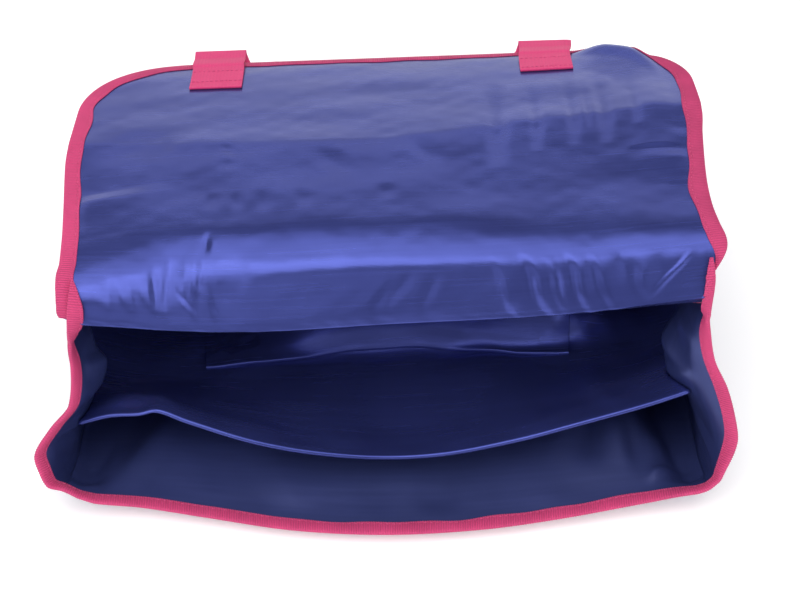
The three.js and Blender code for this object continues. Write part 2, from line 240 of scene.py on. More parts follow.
def back_height(x, y):
    """Height of the back panel, a slightly twisted plane that falls towards the base."""
    share = np.clip((y - HINGE_Y) / BACK_LENGTH, 0, 1)
    return mix(HINGE_Z, BACK_END_Z, share) + x * HINGE_TWIST * (1 - share)


def wall_top(x, y):
    """Height of a wall's upper edge, just under the bound edge of the back panel."""
    return back_height(x, y) - TAPE_REACH - CLEAR - WALL / 2


def plan(depth, inset):
    """The body's outline from above, on the right: place, and turn round the base corner."""
    turn = np.maximum(0, depth - STRAIGHT) / CORNER_ROUND
    reach = CORNER_ROUND - inset
    x = HALF_WIDTH - CORNER_ROUND + reach * np.cos(turn)
    y = MOUTH_Y + np.minimum(depth, STRAIGHT) + reach * np.sin(turn)
    return x, y, turn


def wall_rise(share, top):
    """Inset and height of a wall at a share of its height, from the soft turn at the floor."""
    rise = share * (SEAM_ARC + top - SEAM_ROUND)
    turn = np.maximum(math.pi / 4 - rise / SEAM_ROUND, 0)
    inset = SEAM_ROUND * (1 - np.cos(turn))
    return inset, SEAM_ROUND * (1 - np.sin(turn)) + np.maximum(rise - SEAM_ARC, 0)


def gusset(side, depth, share):
    """A gusset by its side, its depth into the bag and a share of its height."""
    lean = mix(MOUTH_LEAN, BASE_LEAN, np.clip(depth / DEPTH, 0, 1))
    foot_x, foot_y, _ = plan(depth, 0)
    top = wall_top(side * foot_x, foot_y + lean)
    inset, z = wall_rise(share, top)
    x, y, turn = plan(depth, inset)
    rise = (z - SEAM_INSET) / (top - SEAM_INSET)
    push = -TOP_PULL * rise
    for fold in each(GUSSET_FOLDS):
        deep = ridge((depth - fold["depth"]) / fold["deep"])
        high = bump((share - fold["height"]) / fold["high"])
        push = push + np.where(side == fold["side"], fold["push"] * (deep * high), 0)
    out_x, out_y = x + push * np.cos(turn), y + push * np.sin(turn)
    return joined(side * out_x, out_y + lean * rise, z + WALL / 2)


def front(share, depth):
    """The front panel by a share of its half width and its depth; it turns up towards its seams."""
    edge_x, edge_y, _ = plan(depth, SEAM_INSET)
    x = share * edge_x
    past_x = np.maximum(np.abs(x) - HALF_WIDTH + CORNER_ROUND, 0)
    past_y = np.maximum(edge_y - BASE_Y + CORNER_ROUND, 0)
    inset = np.minimum(CORNER_ROUND - np.hypot(past_x, past_y), SEAM_ROUND)
    fall = SEAM_ROUND - inset
    lift = SEAM_ROUND - np.sqrt(np.maximum(SEAM_ROUND**2 - fall**2, 0))
    return joined(x, edge_y, lift + WALL / 2)


print("the right gusset's upper corner is at", gusset(1.0, 0.0, 1.0).round(1), "mm")

# %% [markdown]
# The edge of the mouth is soft and no two places on it are alike. The rim table holds how far it
# strays out, ahead and up, from -2 at the left hinge through -1 and 1 at the floor seams to 2 at the
# right hinge, and the straying fades deeper in the bag. The lip table draws the gussets in just
# behind the tape, because a sewn edge is stiffer than the cloth next to it.

# %% Rim of the mouth
RIM_FADE = 60
LIP_WIDE = 11
LIP_FADE = (24, 70)

RIM = table(
    "at out ahead lift",
    (-2.00, 0.0, 0.0, 0.0),
    (-1.60, 0.0, -5.0, 6.0),
    (-1.45, 9.5, -6.5, 9.0),
    (-1.30, 16.5, -8.0, 12.0),
    (-1.18, 13.5, -8.5, 15.0),
    (-1.08, 9.5, -7.0, 17.0),
    (-1.00, 4.0, -4.0, 20.0),
    (-0.96, 2.2, -4.2, 16.5),
    (-0.92, 1.0, -4.5, 13.0),
    (-0.78, 0.0, -5.0, 10.0),
    (-0.58, 0.0, -10.0, 8.0),
    (-0.30, 0.0, -18.0, 7.0),
    (0.00, 0.0, -21.0, 7.0),
    (0.30, 0.0, -17.5, 7.0),
    (0.56, 0.0, -10.5, 7.5),
    (0.84, 0.0, -2.5, 11.0),
    (1.00, 4.0, 0.0, 17.0),
    (1.10, 7.0, -3.0, 16.0),
    (1.32, 15.0, -5.0, 11.0),
    (1.45, 14.5, -4.0, 9.0),
    (1.62, 11.0, -3.0, 5.0),
    (1.78, 4.0, -1.5, 2.0),
    (2.00, 0.5, 0.0, 0.0),
)

LIP = table(
    "at lip",
    (-2.00, 0.0),
    (-1.85, 1.0),
    (-1.60, 3.5),
    (-1.30, 4.0),
    (-1.08, 1.0),
    (-1.00, 0.0),
    (1.00, 0.0),
    (1.10, 1.5),
    (1.35, 5.0),
    (1.65, 7.5),
    (1.90, 5.0),
    (2.00, 0.0),
)


def wall_smooth(at, depth):
    """The three walls round the mouth: -2 left hinge, -1 left seam, 1 right seam, 2 right hinge."""
    at, depth = np.broadcast_arrays(np.asarray(at, float), np.asarray(depth, float))
    side = np.sign(at)
    upright = (np.abs(at) > 1)[..., None]
    place = np.where(
        upright,
        gusset(side, depth, np.maximum(np.abs(at) - 1, 0)),
        front(np.clip(at, -1, 1), depth),
    )
    fade = np.clip(1 - depth / RIM_FADE, 0, None) ** 2
    pinch = (1 - np.clip(1 - depth / LIP_WIDE, 0, 1) ** 2) * (1 - smooth(depth, *LIP_FADE))
    out = read(RIM, "at", "out", at) * fade - read(LIP, "at", "lip", at) * pinch
    place[..., 0] += side * out
    place[..., 1] += read(RIM, "at", "ahead", at) * fade
    place[..., 2] += read(RIM, "at", "lift", at) * fade
    return place


def wall_flat(at, depth):
    """Flat place on the walls: round the mouth, and into the bag."""
    upright = np.maximum(np.abs(at) - 1, 0)
    return joined(np.clip(at, -1, 1) * HALF_WIDTH + np.sign(at) * upright * HINGE_Z, depth)


print("the left corner of the mouth is at", wall_smooth(-1.0, 0.0).round(1), "mm")

# %% [markdown]
# Slack cloth swells between its seams. The front panel bulges up inside the mouth, a groove runs
# along each of its seams, and creases run down all three walls. They could be painted as a
# displacement map, but laid on as heights they are real geometry, which the tape and the divider
# can follow too.

# %% Swell and creases of the walls
WALL_STEP = 0.001
SWELL = 8
SWELL_MORE = 8
SWELL_MORE_FROM = (40, 130)
SWELL_LEFT = -150
SWELL_LEFT_EASE = (-24, 4)
SWELL_RIGHT = 164
SWELL_RIGHT_EASE = (-6, 16)
SWELL_SLANT = 0.45
SWELL_IN, SWELL_OUT = (-10, 56), (90, 160)
GROOVE = 5
GROOVE_AT = 166
GROOVE_WIDE = 14
GROOVE_IN, GROOVE_OUT = (8, 20), (50, 80)
CREASE_IN, CREASE_OUT = (5, 14), (150, 220)
WALL_SLACK = {"high": 0.2, "wave": 34, "seed": 31}

WALL_CREASES = table(
    "x along turn long wide high lean",
    (113, 46, 88, 24, 9, -2.6, 0),
    (100, 50, 80, 26, 10, 2.0, 0.2),
    (126, 44, 95, 24, 8, 2.4, -0.2),
    (139, 38, 97, 24, 7, -2.8, 0.2),
    (152, 40, 95, 20, 8, 2.6, 0),
    (155, 20, 40, 12, 4, 1.6, 0.3),
    (148, 18, 60, 10, 4, 1.4, -0.3),
    (30, 24, 60, 34, 14, -1.4, 0),
    (-60, 30, 120, 36, 16, 1.6, 0),
    (-135, 36, 62, 42, 10, 2.2, 0.3),
    (-162, 12, 60, 10, 4, 1.5, 0),
    (-236, 24, 65, 26, 6, 2.6, 0.3),
    (-220, 30, 110, 24, 6, -2.2, 0.2),
    (-208, 18, 75, 20, 5, 2.0, -0.3),
    (-250, 30, 95, 26, 6, 2.0, 0.2),
    (-192, 26, 50, 24, 7, 2.2, 0),
    (240, 34, 70, 28, 7, 2.4, 0.3),
    (226, 22, 115, 22, 5, 2.4, -0.2),
    (212, 36, 100, 24, 7, -2.0, 0),
    (196, 24, 60, 22, 6, 2.0, 0.3),
    (252, 20, 85, 18, 4, 1.5, 0),
)


def wall(at, depth):
    """The walls with the swell of the front panel, grooves at its seams and creases on all three."""
    at, depth = np.broadcast_arrays(np.asarray(at, float), np.asarray(depth, float))
    x = wall_flat(at, depth)[..., 0]
    left = smooth(x - SWELL_LEFT - SWELL_SLANT * depth, *SWELL_LEFT_EASE)
    right = smooth(SWELL_RIGHT - x - SWELL_SLANT * depth / 2, *SWELL_RIGHT_EASE)
    swell = (SWELL + SWELL_MORE * smooth(x, *SWELL_MORE_FROM)) * left * right
    swell = np.where(np.abs(at) < 1, swell * window(depth, SWELL_IN, SWELL_OUT), 0)
    groove = GROOVE * bump((np.abs(x) - GROOVE_AT) / GROOVE_WIDE)
    groove = groove * window(depth, GROOVE_IN, GROOVE_OUT)
    fine = creases(WALL_CREASES, x, depth) + ripple(x, depth, **WALL_SLACK)
    high = swell - groove + fine * window(depth, CREASE_IN, CREASE_OUT)
    place = wall_smooth(at, depth) + normal_on(wall_smooth, at, depth, WALL_STEP) * high[..., None]
    place[..., 2] = np.maximum(place[..., 2], WALL / 2)
    return place


print("the middle of the mouth's lower edge is at", wall(0.0, 0.0).round(1), "mm")

# %% [markdown]
# The flap is one long tongue of cloth. It leaves the hinge, rolls over on itself and runs back to
# its far edge. One table holds where its two edges lie. Another holds the heading of the cloth in
# the side view, in degrees, at five stations from left to right. Headings are easier to correct
# than heights: where one row turns the cloth, all that lies beyond it follows.

# %% Outline and headings of the flap
FLAP_LENGTH = 270
FLAP_HALF = 171
FLAP_ROUND = 66
FLAP_STATIONS = ("left", "midleft", "middle", "midright", "right")

FLAP_SIDE = table(
    "along left right",
    (0, -161.0, 166.5),
    (16, -160.0, 165.5),
    (20, -160.0, 165.2),
    (22, -165.0, 166.2),
    (24, -171.0, 167.3),
    (31, -172.3, 168.6),
    (36, -172.6, 170.5),
    (43, -173.0, 174.0),
    (49, -173.0, 175.6),
    (56, -172.0, 175.0),
    (65, -172.0, 172.5),
    (80, -172.5, 170.2),
    (106, -174.3, 169.2),
    (145, -177.0, 170.4),
    (164, -176.8, 171.7),
    (232, -174.8, 169.5),
    (256, -173.5, 168.5),
    (270, -173.0, 169.0),
)

FLAP_HEADINGS = table(
    "along left midleft middle midright right",
    (0, 152, 174, 166, 160, 134),
    (8, 144, 166, 158, 150, 126),
    (13, 138, 156, 149, 141, 121),
    (17, 129, 141, 137, 131, 116),
    (19.9, 112, 122, 122, 119, 110),
    (20.3, 62, 64, 66, 63, 60),
    (22, 58, 60, 64, 61, 58),
    (25, 53, 56, 63, 60, 57),
    (30, 45, 53, 61, 58, 56),
    (34, 36, 51, 60, 57, 55),
    (39, 24, 49, 58, 56, 52),
    (43, 14, 47, 57, 54, 48),
    (48, 8, 44, 54, 49, 38),
    (52, 6, 37, 45, 38, 23),
    (56, 4, 29, 29, 24, 15),
    (60, 2, 22, 21, 17, 10),
    (64, 0, 18, 17, 13, 5),
    (69, -2, 14, 14, 8, 0),
    (77, -4, 7, 8, 2, -3),
    (84, -7, 0, 0, -3, -3),
    (108, -5, -4, -4, -0.5, 1),
    (153, -3, -4.5, -4.5, -1, 1),
    (157, -12, -13, -13, -12, -12),
    (176, -13, -13, -13, -13, -13),
    (232, -14, -14, -14, -15, -16),
    (256, -20, -20, -20, -22, -24),
    (270, -28, -28, -28, -30, -32),
)

print("in the middle the flap turns by", np.ptp(FLAP_HEADINGS["middle"]), "degrees")

# %% [markdown]
# The side view is then walked in short steps, each the way its heading points, on several paths
# across the flap. A path drawn as a curve by hand could stretch the cloth; a walk can't, because
# its steps are all of one length. The paths end a little apart, so each gets its miss added
# evenly along its length, and all of them end at the straight far edge.

# %% The path of the flap
FLAP_TWIST = 0.047
FLAP_END_Y = 145.7
FLAP_END_Z = 101.2
FAR_CREASE_AT = 155
FAR_CREASE_REACH = 70
TAPE_WIDTH = 8.4
WALK = 0.25
PATHS = 19

FAR_CREASE = table(
    "x later",
    (-171, 9),
    (-128, 5),
    (-85, 2),
    (0, 1),
    (43, 6),
    (85, 12),
    (128, 18),
    (171, 20),
)

walked = np.arange(0, FLAP_LENGTH + 2 * TAPE_WIDTH, WALK)
course_along = np.r_[walked, walked[-1] + WALK]
course_x = np.linspace(-FLAP_HALF, FLAP_HALF, PATHS)
course_ways = (("y", HINGE_Y, FLAP_END_Y, np.cos), ("z", HINGE_Z, FLAP_END_Z, np.sin))
course = {"y": [], "z": []}


def spread(x, stations):
    """How much each station counts at a place x, as a smooth blend of the nearest ones."""
    shares = np.eye(len(stations))
    return [read({"x": stations, "share": share}, "x", "share", x) for share in shares]


for x in course_x:
    later = read(FAR_CREASE, "x", "later", x) * bump((walked - FAR_CREASE_AT) / FAR_CREASE_REACH)
    middles = walked + WALK / 2 - later
    columns = [read(FLAP_HEADINGS, "along", station, middles) for station in FLAP_STATIONS]
    counts = spread(x, np.linspace(-FLAP_HALF, FLAP_HALF, len(FLAP_STATIONS)))
    headings = np.radians(sum(count * column for count, column in zip(counts, columns)))
    for axis, start, end, part in course_ways:
        path = start + np.r_[0, np.cumsum(WALK * part(headings))]
        miss = end - np.interp(FLAP_LENGTH, course_along, path)
        course[axis].append(path + miss * course_along / FLAP_LENGTH)
course = {axis: np.array(paths) for axis, paths in course.items()}


def course_at(axis, x, along):
    """Side-view place of the flap, blended between the two nearest paths."""
    x, along = np.broadcast_arrays(np.asarray(x, float), np.asarray(along, float))
    i = np.clip(np.searchsorted(course_x, x, side="right") - 1, 0, PATHS - 2)
    t = np.clip((x - course_x[i]) / (course_x[1] - course_x[0]), 0, 1)
    step = np.clip(along / WALK, 0, len(walked))
    j = np.minimum(step.astype(int), len(walked) - 1)
    paths = course[axis]
    near, far = (mix(paths[k, j], paths[k, j + 1], step - j) for k in (i, i + 1))
    return mix(near, far, t)


def flap_sides(along):
    """Where the left and the right edge of the flap lie."""
    return [read(FLAP_SIDE, "along", edge, along) for edge in ("left", "right")]


def flap_smooth(x, along):
    """The flap without its folds."""
    twist = mix(HINGE_TWIST, FLAP_TWIST, np.clip(along / FLAP_LENGTH, 0, 1))
    return joined(
        mix(*flap_sides(along), (x / FLAP_HALF + 1) / 2),
        course_at("y", x, along) - np.minimum(along, 0),
        course_at("z", x, along) + x * twist,
    )


print("the roll comes forward to y =", course["y"].min().round(1), "mm")

# %% [markdown]
# The lining is crumpled where it has been rolled and packed. Wide hollows are round humps, and
# pleats and creases are ridges that lean to one side, each with a place, a direction and a size.
# They fade towards the hinge and the bound edge, where the sewing holds the cloth. At the far right
# corner the cloth swells over its binding, which turns down behind it.

# %% Folds of the flap
FOLDS_FROM_EDGE = (2, 14)
FOLDS_FROM_HINGE = (4, 20)
FLAP_SLACK = {"high": 0.12, "wave": 70, "seed": 11}
FLAP_GRAIN = {"high": 0.03, "wave": 14, "seed": 12}
TUCK_IN, TUCK_OUT = (106, 130), (140, 160)

FLAP_FOLDS = table(
    "x along turn long wide high lean",
    (-132, 160, 5, 38, 22, -1.5, 0),
    (-112, 44, 86, 30, 18, -1.0, 0),
    (-84, 42, 94, 30, 16, -1.0, 0),
)

FLAP_CREASES = table(
    "x along turn long wide high lean",
    (-158, 97, 11, 64, 17, 2.0, 0.55),
    (168, 116, -9, 40, 14, 1.6, 0.5),
    (172, 137, -14, 30, 10, 1.0, 0.4),
    (-119, 43, 98, 20, 4.5, -0.8, 0.4),
    (-112, 46, 90, 24, 5.5, -1.0, 0.4),
    (-101, 37, 128, 13, 5.0, -0.8, 0.4),
    (-95, 47, 88, 30, 5.5, -1.0, 0.4),
    (-87, 36, 102, 13, 5.0, -0.8, 0.4),
    (-132, 37, 104, 15, 4.5, -0.6, 0.0),
    (-94, 70, 81, 10, 2.5, -0.9, 0.4),
    (-144, 38, 95, 16, 5.0, -0.6, 0.0),
    (65, 38, 117, 26, 6.0, 1.2, 0.45),
    (83, 38, 119, 30, 6.5, 1.5, 0.45),
    (91, 37, 117, 24, 5.0, 1.0, 0.45),
    (104, 38, 118, 30, 6.5, 1.6, 0.45),
    (116, 38, 121, 30, 6.5, 1.5, 0.45),
    (136, 37, 118, 18, 6.0, 1.0, 0.45),
    (148, 37, 62, 16, 2.5, 0.9, 0.3),
    (62, 170, 0, 9, 42, -2.2, -0.31),
    (83, 175, 0, 6, 35, -1.5, -0.41),
    (103, 180, 0, 6, 36, -1.6, -0.39),
    (111, 183, 0, 3, 26, -0.8, -0.51),
    (120, 181, 0, 7, 37, -1.7, -0.35),
    (137, 185, 0, 5, 27, -1.0, -0.48),
    (-26, 136, 125, 20, 8.0, -0.9, 0.0),
    (24, 143, 120, 18, 8.0, -0.9, 0.2),
    (-91, 103, 80, 10, 5.0, -0.4, 0.2),
    (-77, 103, 90, 11, 5.0, -0.5, 0.2),
    (-63, 103, 90, 11, 6.0, -0.6, 0.2),
    (-42, 104, 101, 10, 6.0, -0.5, 0.2),
    (3, 106, 90, 9, 6.0, -0.6, 0.2),
    (-83, 151, 117, 10, 4.0, -0.5, 0.0),
    (-116, 158, 117, 9, 4.0, -0.4, 0.0),
    (-82, 136, 80, 8, 7.0, -0.4, 0.0),
    (-1, 36, 63, 14, 4.0, -0.6, 0.0),
    (6, 38, 63, 16, 4.0, -0.7, 0.0),
    (22, 36, 80, 15, 4.0, -0.6, 0.0),
)

TUCK = table(
    "away back lift",
    (-3, 1.5, -8.0),
    (0, 2.0, -5.0),
    (9, 4.5, 4.2),
    (20, 2.0, 2.0),
    (40, 0.0, 0.0),
)


def edge_away(x, along):
    """How far a place on the flap lies inside its edge."""
    past_x = np.maximum(np.abs(x) - FLAP_HALF + FLAP_ROUND, 0)
    past_y = np.maximum(along - FLAP_LENGTH + FLAP_ROUND, 0)
    return np.where(past_y > 0, FLAP_ROUND - np.hypot(past_x, past_y), FLAP_HALF - np.abs(x))


def tuck(x, along):
    """How far the cloth goes back and up at the far right corner."""
    away = edge_away(x, along)
    there = window(x, TUCK_IN, TUCK_OUT) * (along > FLAP_LENGTH / 2)
    return there * read(TUCK, "away", "back", away), there * read(TUCK, "away", "lift", away)


def flap(x, along):
    """The flap by its place across and along the flat cloth."""
    x, along = np.broadcast_arrays(np.asarray(x, float), np.asarray(along, float))
    inside = smooth(edge_away(x, along), *FOLDS_FROM_EDGE) * smooth(along, *FOLDS_FROM_HINGE)
    high = creases(FLAP_FOLDS, x, along, bump) + creases(FLAP_CREASES, x, along)
    high = high + ripple(x, along * 2, **FLAP_SLACK) + ripple(x, along, **FLAP_GRAIN)
    place = flap_smooth(x, along) + normal_on(flap_smooth, x, along) * (high * inside)[..., None]
    back_by, lift_by = tuck(x, along)
    place[..., 1] += back_by
    place[..., 2] += lift_by
    return place


print("the flap's far edge is at", flap(0.0, float(FLAP_LENGTH)).round(1), "mm")

# %% [markdown]
# The back panel lies under the flap, and the base closes the far end of the body. Both are hidden,
# so they are made plainly: a slightly twisted plane, and a wall with the same soft turn at the
# floor as the gussets, so that the seams between them meet.

# %% Back panel and base
BACK_HALF = 170
BACK_ROUND = 44


def back(x, along):
    """The back panel by its place across and along the flat cloth."""
    y = HINGE_Y + along
    return joined(x, y, back_height(x, y))


def base(x, up):
    """The base by its place across and up the flat cloth."""
    top = wall_top(x, BASE_Y + BASE_LEAN)
    inset, z = wall_rise(up / HINGE_Z, top)
    rise = z / top
    return joined(x, BASE_Y - inset - TOP_PULL * rise + BASE_LEAN * rise, z + WALL / 2)


def tongue_half(along, length, half, corner):
    """Half width of a tongue with two rounded corners at its far end."""
    past = np.clip(along - (length - corner), 0, corner)
    return half - corner + np.sqrt(corner**2 - past**2)


print("the back panel ends at", back(0.0, float(BACK_LENGTH)).round(1), "mm")

# %% [markdown]
# Inside hangs a divider, sewn to both gussets, with a hem along its free edge. It is stretched from
# wall to wall first, and then sags in the middle, as thin cloth does: along its hem by a table,
# deeper in by a flat trough. Simulated cloth would sag as well, but the hem's line is plain to see on
# the real bag, and a table follows it.

# %% Divider
DIVIDER_SET = 16
DIVIDER_LEFT = 0.38
DIVIDER_RIGHT = 0.5
TROUGH = 20
TROUGH_FROM = 65
TROUGH_POWER = 6
SAG_FADE = (STRAIGHT * 0.7, DEPTH)
RISE = 20
RISE_IN, RISE_OUT = (75, 100), (100, 124)
RISE_MIDDLE = 0.18
RISE_SIDES = (0.3, 0.75)
CREASES_FROM_HEM = (DIVIDER_SET + 1, DIVIDER_SET + 9)
SEAM_POWER = 8
RUMPLE_MIDDLE = 12
RUMPLE_AWAY = 105
RUMPLE_WIDE = 45
RUMPLE_DEPTH = 92
RUMPLE_DEEP = 30
DIVIDER_SLACK = {"high": 0.5, "wave": 46, "seed": 21}
DIVIDER_RUMPLE = {"high": 0.3, "wave": 13, "seed": 22}

DIVIDER_HEM = table(
    "at ahead lift",
    (-1.00, 0.0, 0.0),
    (-0.90, 1.5, 3.0),
    (-0.80, -0.5, 5.5),
    (-0.74, -2.0, 9.0),
    (-0.64, -6.5, 4.0),
    (-0.43, -13.5, -7.0),
    (-0.23, -16.0, -16.0),
    (0.00, -16.0, -23.0),
    (0.21, -16.0, -22.5),
    (0.45, -14.5, -15.5),
    (0.65, -12.0, -7.5),
    (0.86, -6.0, -2.5),
    (1.00, 0.0, 0.0),
)

DIVIDER_CREASES = table(
    "x along turn long wide high lean",
    (-150, 29, 0, 34, 12, 8.0, 0.0),
    (-100, 60, 30, 40, 18, 2.0, 0),
    (60, 58, 150, 44, 18, 1.6, 0),
    (130, 40, 120, 28, 10, 2.4, 0.2),
)


def hung(at, depth):
    """A place just inside a wall, where the divider is sewn to it."""
    at = np.full(np.shape(depth), at)
    return wall(at, depth) + normal_on(wall_smooth, at, depth, WALL_STEP) * (WALL / 2 + CLEAR)


def divider(share, depth):
    """The divider by a share of its half width and its depth into the bag."""
    share, depth = np.broadcast_arrays(np.asarray(share, float), np.asarray(depth, float))
    left, right = hung(-1 - DIVIDER_LEFT, depth), hung(1 + DIVIDER_RIGHT, depth)
    place = mix(left, right, (share[..., None] + 1) / 2)
    deep = smooth(depth, DIVIDER_SET, TROUGH_FROM)
    sag = mix(read(DIVIDER_HEM, "at", "lift", share), TROUGH * (share**TROUGH_POWER - 1), deep)
    rise = window(depth, RISE_IN, RISE_OUT) * (1 - smooth(np.abs(share - RISE_MIDDLE), *RISE_SIDES))
    x = share * HALF_WIDTH
    rumple = bump((np.abs(x - RUMPLE_MIDDLE) - RUMPLE_AWAY) / RUMPLE_WIDE)
    rumple = rumple * bump((depth - RUMPLE_DEPTH) / RUMPLE_DEEP)
    high = creases(DIVIDER_CREASES, x, depth) + ripple(x, depth, **DIVIDER_SLACK)
    high = high + rumple * ripple(x, depth, **DIVIDER_RUMPLE)
    free = smooth(depth, *CREASES_FROM_HEM) * (1 - share**SEAM_POWER)
    place[..., 2] += sag * (1 - smooth(depth, *SAG_FADE)) + RISE * rise + high * free
    place[..., 1] += read(DIVIDER_HEM, "at", "ahead", share) * (1 - deep)
    return place


print("the divider's hem hangs at z =", divider(0.0, DIVIDER_SET).round(1)[2], "mm in the middle")

# %% [markdown]
# A slip pocket is sewn on the divider by its sides and its lower edge. It is the divider's own
# surface, raised a little, so that it follows every sag. The raise is greatest in the middle of the
# hem, which nothing holds, and runs out to the stitching at the sides.

# %% Inner pocket
POCKET_HALF = 0.6
POCKET_SET = 72
POCKET_LENGTH = 70
POCKET_SEWN = 0.15
POCKET_OFF = 1.05
POCKET_EASE = (0, 0.25)
POCKET_GAPE = 1.5
POCKET_SAG = 9


def pocket(share, depth):
    """The pocket by the same two coordinates as the divider."""
    along = (depth - POCKET_SET) / POCKET_LENGTH
    slack = bump(share / POCKET_HALF) * np.clip(1 - along, 0, 1)
    free = smooth(1 - np.abs(share) / POCKET_HALF, *POCKET_EASE)
    off = POCKET_SEWN + POCKET_OFF * free + POCKET_GAPE * slack**2
    depth = depth + POCKET_SAG * slack
    return divider(share, depth) + normal_on(divider, share, depth, WALL_STEP) * off[..., None]


print("the pocket is", round(2 * POCKET_HALF * HALF_WIDTH), "mm wide")

# %% [markdown]
# Finishes are written as short sums. They could be wired up in the shader editor, but lines of code
# are easier to repeat and to correct. A small class wraps one output of a shader node, so that
# ordinary signs add the maths nodes, and one method adds any other node.

# %% A wire between shader nodes


class Wire:
    """One output socket of a material's node; signs between wires add Math nodes."""

    def __init__(self, tree, socket):
        self.tree = tree
        self.socket = socket

    def add(self, kind, settings=None, sockets=None, output=0):
        """A new node: its settings first, then a value or a wire for each named socket."""
        node = self.tree.nodes.new(kind)
        for name, value in (settings or {}).items():
            if name == "stops":
                while len(node.color_ramp.elements) < len(value):
                    node.color_ramp.elements.new(1)
                for stop, (place, colour) in zip(node.color_ramp.elements, value):
                    stop.position, stop.color = place, colour
            else:
                setattr(node, name, value)
        for name, value in (sockets or {}).items():
            if isinstance(value, Wire):
                self.tree.links.new(value.socket, node.inputs[name])
            else:
                node.inputs[name].default_value = value
        return Wire(self.tree, node.outputs[output])

    def maths(self, operation, *values):
        return self.add("ShaderNodeMath", {"operation": operation}, dict(enumerate(values)))

    def __add__(self, other):
        return self.maths("ADD", self, other)

    def __sub__(self, other):
        return self.maths("SUBTRACT", self, other)

    def __rsub__(self, other):
        return self.maths("SUBTRACT", other, self)

    def __mul__(self, other):
        return self.maths("MULTIPLY", self, other)

    __radd__ = __add__
    __rmul__ = __mul__

    def sine(self):
        return self.maths("SINE", self)

    def between(self, low, high):
        """Squeezed to 0 below low and 1 above high."""
        return self.add("ShaderNodeMapRange", {"interpolation_type": "SMOOTHSTEP"},
                        {"Value": self, "From Min": low, "From Max": high})

    def tint(self, dark, light):
        """A colour between two, by this value."""
        sockets = {0: self, 6: (*dark, 1), 7: (*light, 1)}
        return self.add("ShaderNodeMix", {"data_type": "RGBA"}, sockets, 2)


print("signs between wires add Math nodes")

# %% [markdown]
# Every finish here needs the same few things: constants on the shader's own sockets, noise, the
# waves of a weave, and a bump. Each gets a helper. The patterns read the place on the flat cloth,
# kept in millimetres as a UV map, so that threads follow the cloth round every fold.

# %% Parts of a finish


def set_sockets(node, **constants):
    """Sets constants on a node's own sockets; an underscore stands for a space."""
    for socket, value in constants.items():
        node.inputs[socket.replace("_", " ")].default_value = value


def new_material(name, **constants):
    """A material and its shader, with the shader's constants set."""
    material = bpy.data.materials.new(name)
    material.use_nodes = True
    shader = material.node_tree.nodes["Principled BSDF"]
    set_sockets(shader, **constants)
    return material, shader


def new_finish(name, **constants):
    """A new material with the cloth's own flat places in millimetres."""
    material, shader = new_material(name, **constants)
    flat = Wire(material.node_tree, None).add("ShaderNodeUVMap", {"uv_map": "flat_mm"})
    return material, shader, flat


def feed(wire, shader, socket):
    wire.tree.links.new(wire.socket, shader.inputs[socket])


def feed_bump(height, shader, strength, distance):
    """Lets a height bump the shader's normal."""
    sockets = {"Strength": strength, "Distance": distance, "Height": height}
    feed(height.add("ShaderNodeBump", None, sockets), shader, "Normal")


def noise(flat, scale, detail):
    """Cloudy noise over the cloth."""
    return flat.add("ShaderNodeTexNoise", None, {"Vector": flat, "Scale": scale, "Detail": detail})


def threads(flat, direction, scale):
    """Even waves across the cloth, as rows of thread."""
    sockets = {"Vector": flat, "Scale": scale}
    return flat.add("ShaderNodeTexWave", {"bands_direction": direction}, sockets, 1)


print("finishes read the UV map flat_mm")

# %% [markdown]
# The cloth is thin plain-woven nylon. Its threads are finer than a pixel, but they leave streaks
# along the weft, slight changes of gloss, and a fine roughness, so noise is stretched along the
# cloth's own width and laid on colour, gloss and bump. Its gloss takes on the blue of the cloth,
# which a part of Metallic gives. One recipe makes three finishes: the shiny lining of the flap, the
# back panel, the divider and the pocket, a duller one for the front panel, and one between the two
# for the gussets and the base. These last two are the same lining in darker colours, and that
# darkness is painted shade.

# %% Nylon finish
NYLON_DARK = (0.047, 0.060, 0.255)
NYLON_LIGHT = (0.062, 0.080, 0.325)
# Darker colours of the same lining, for the front panel, the gussets and the base: painted shade.
LINING_SHADE_DARK = (0.028, 0.038, 0.132)
LINING_SHADE_LIGHT = (0.036, 0.048, 0.165)
STREAK = (0.014, 0.5, 1.0)
NYLON_THREAD = 0.45


def nylon_finish(name, dark, light, gloss, rough):
    material, shader, flat = new_finish(name, Metallic=gloss, IOR=1.4)
    streaked = flat.add("ShaderNodeMapping", None, {"Vector": flat, "Scale": STREAK})
    streaks = noise(streaked, scale=1.0, detail=1.0)
    patches = noise(flat, scale=0.02, detail=3.0)
    crinkle = noise(flat, scale=0.12, detail=5.0)
    weave = threads(flat, "Y", NYLON_THREAD) + threads(flat, "X", NYLON_THREAD)
    shade = (streaks * 0.35 + patches * 0.65).between(0.25, 0.75)
    feed(shade.tint(dark, light), shader, "Base Color")
    feed(rough + streaks * 0.08 + patches * 0.06, shader, "Roughness")
    feed_bump(crinkle * 0.22 + weave * 0.02, shader, strength=0.35, distance=0.001)
    return material


nylon = nylon_finish("nylon_lining", NYLON_DARK, NYLON_LIGHT, gloss=0.72, rough=0.19)
nylon_front_shaded = nylon_finish("nylon_front_shaded", LINING_SHADE_DARK, LINING_SHADE_LIGHT, gloss=0.3, rough=0.34)
nylon_wall_shaded = nylon_finish("nylon_wall_shaded", LINING_SHADE_DARK, LINING_SHADE_LIGHT, gloss=0.48, rough=0.24)
print("made the finishes", nylon.name, nylon_front_shaded.name, "and", nylon_wall_shaded.name)
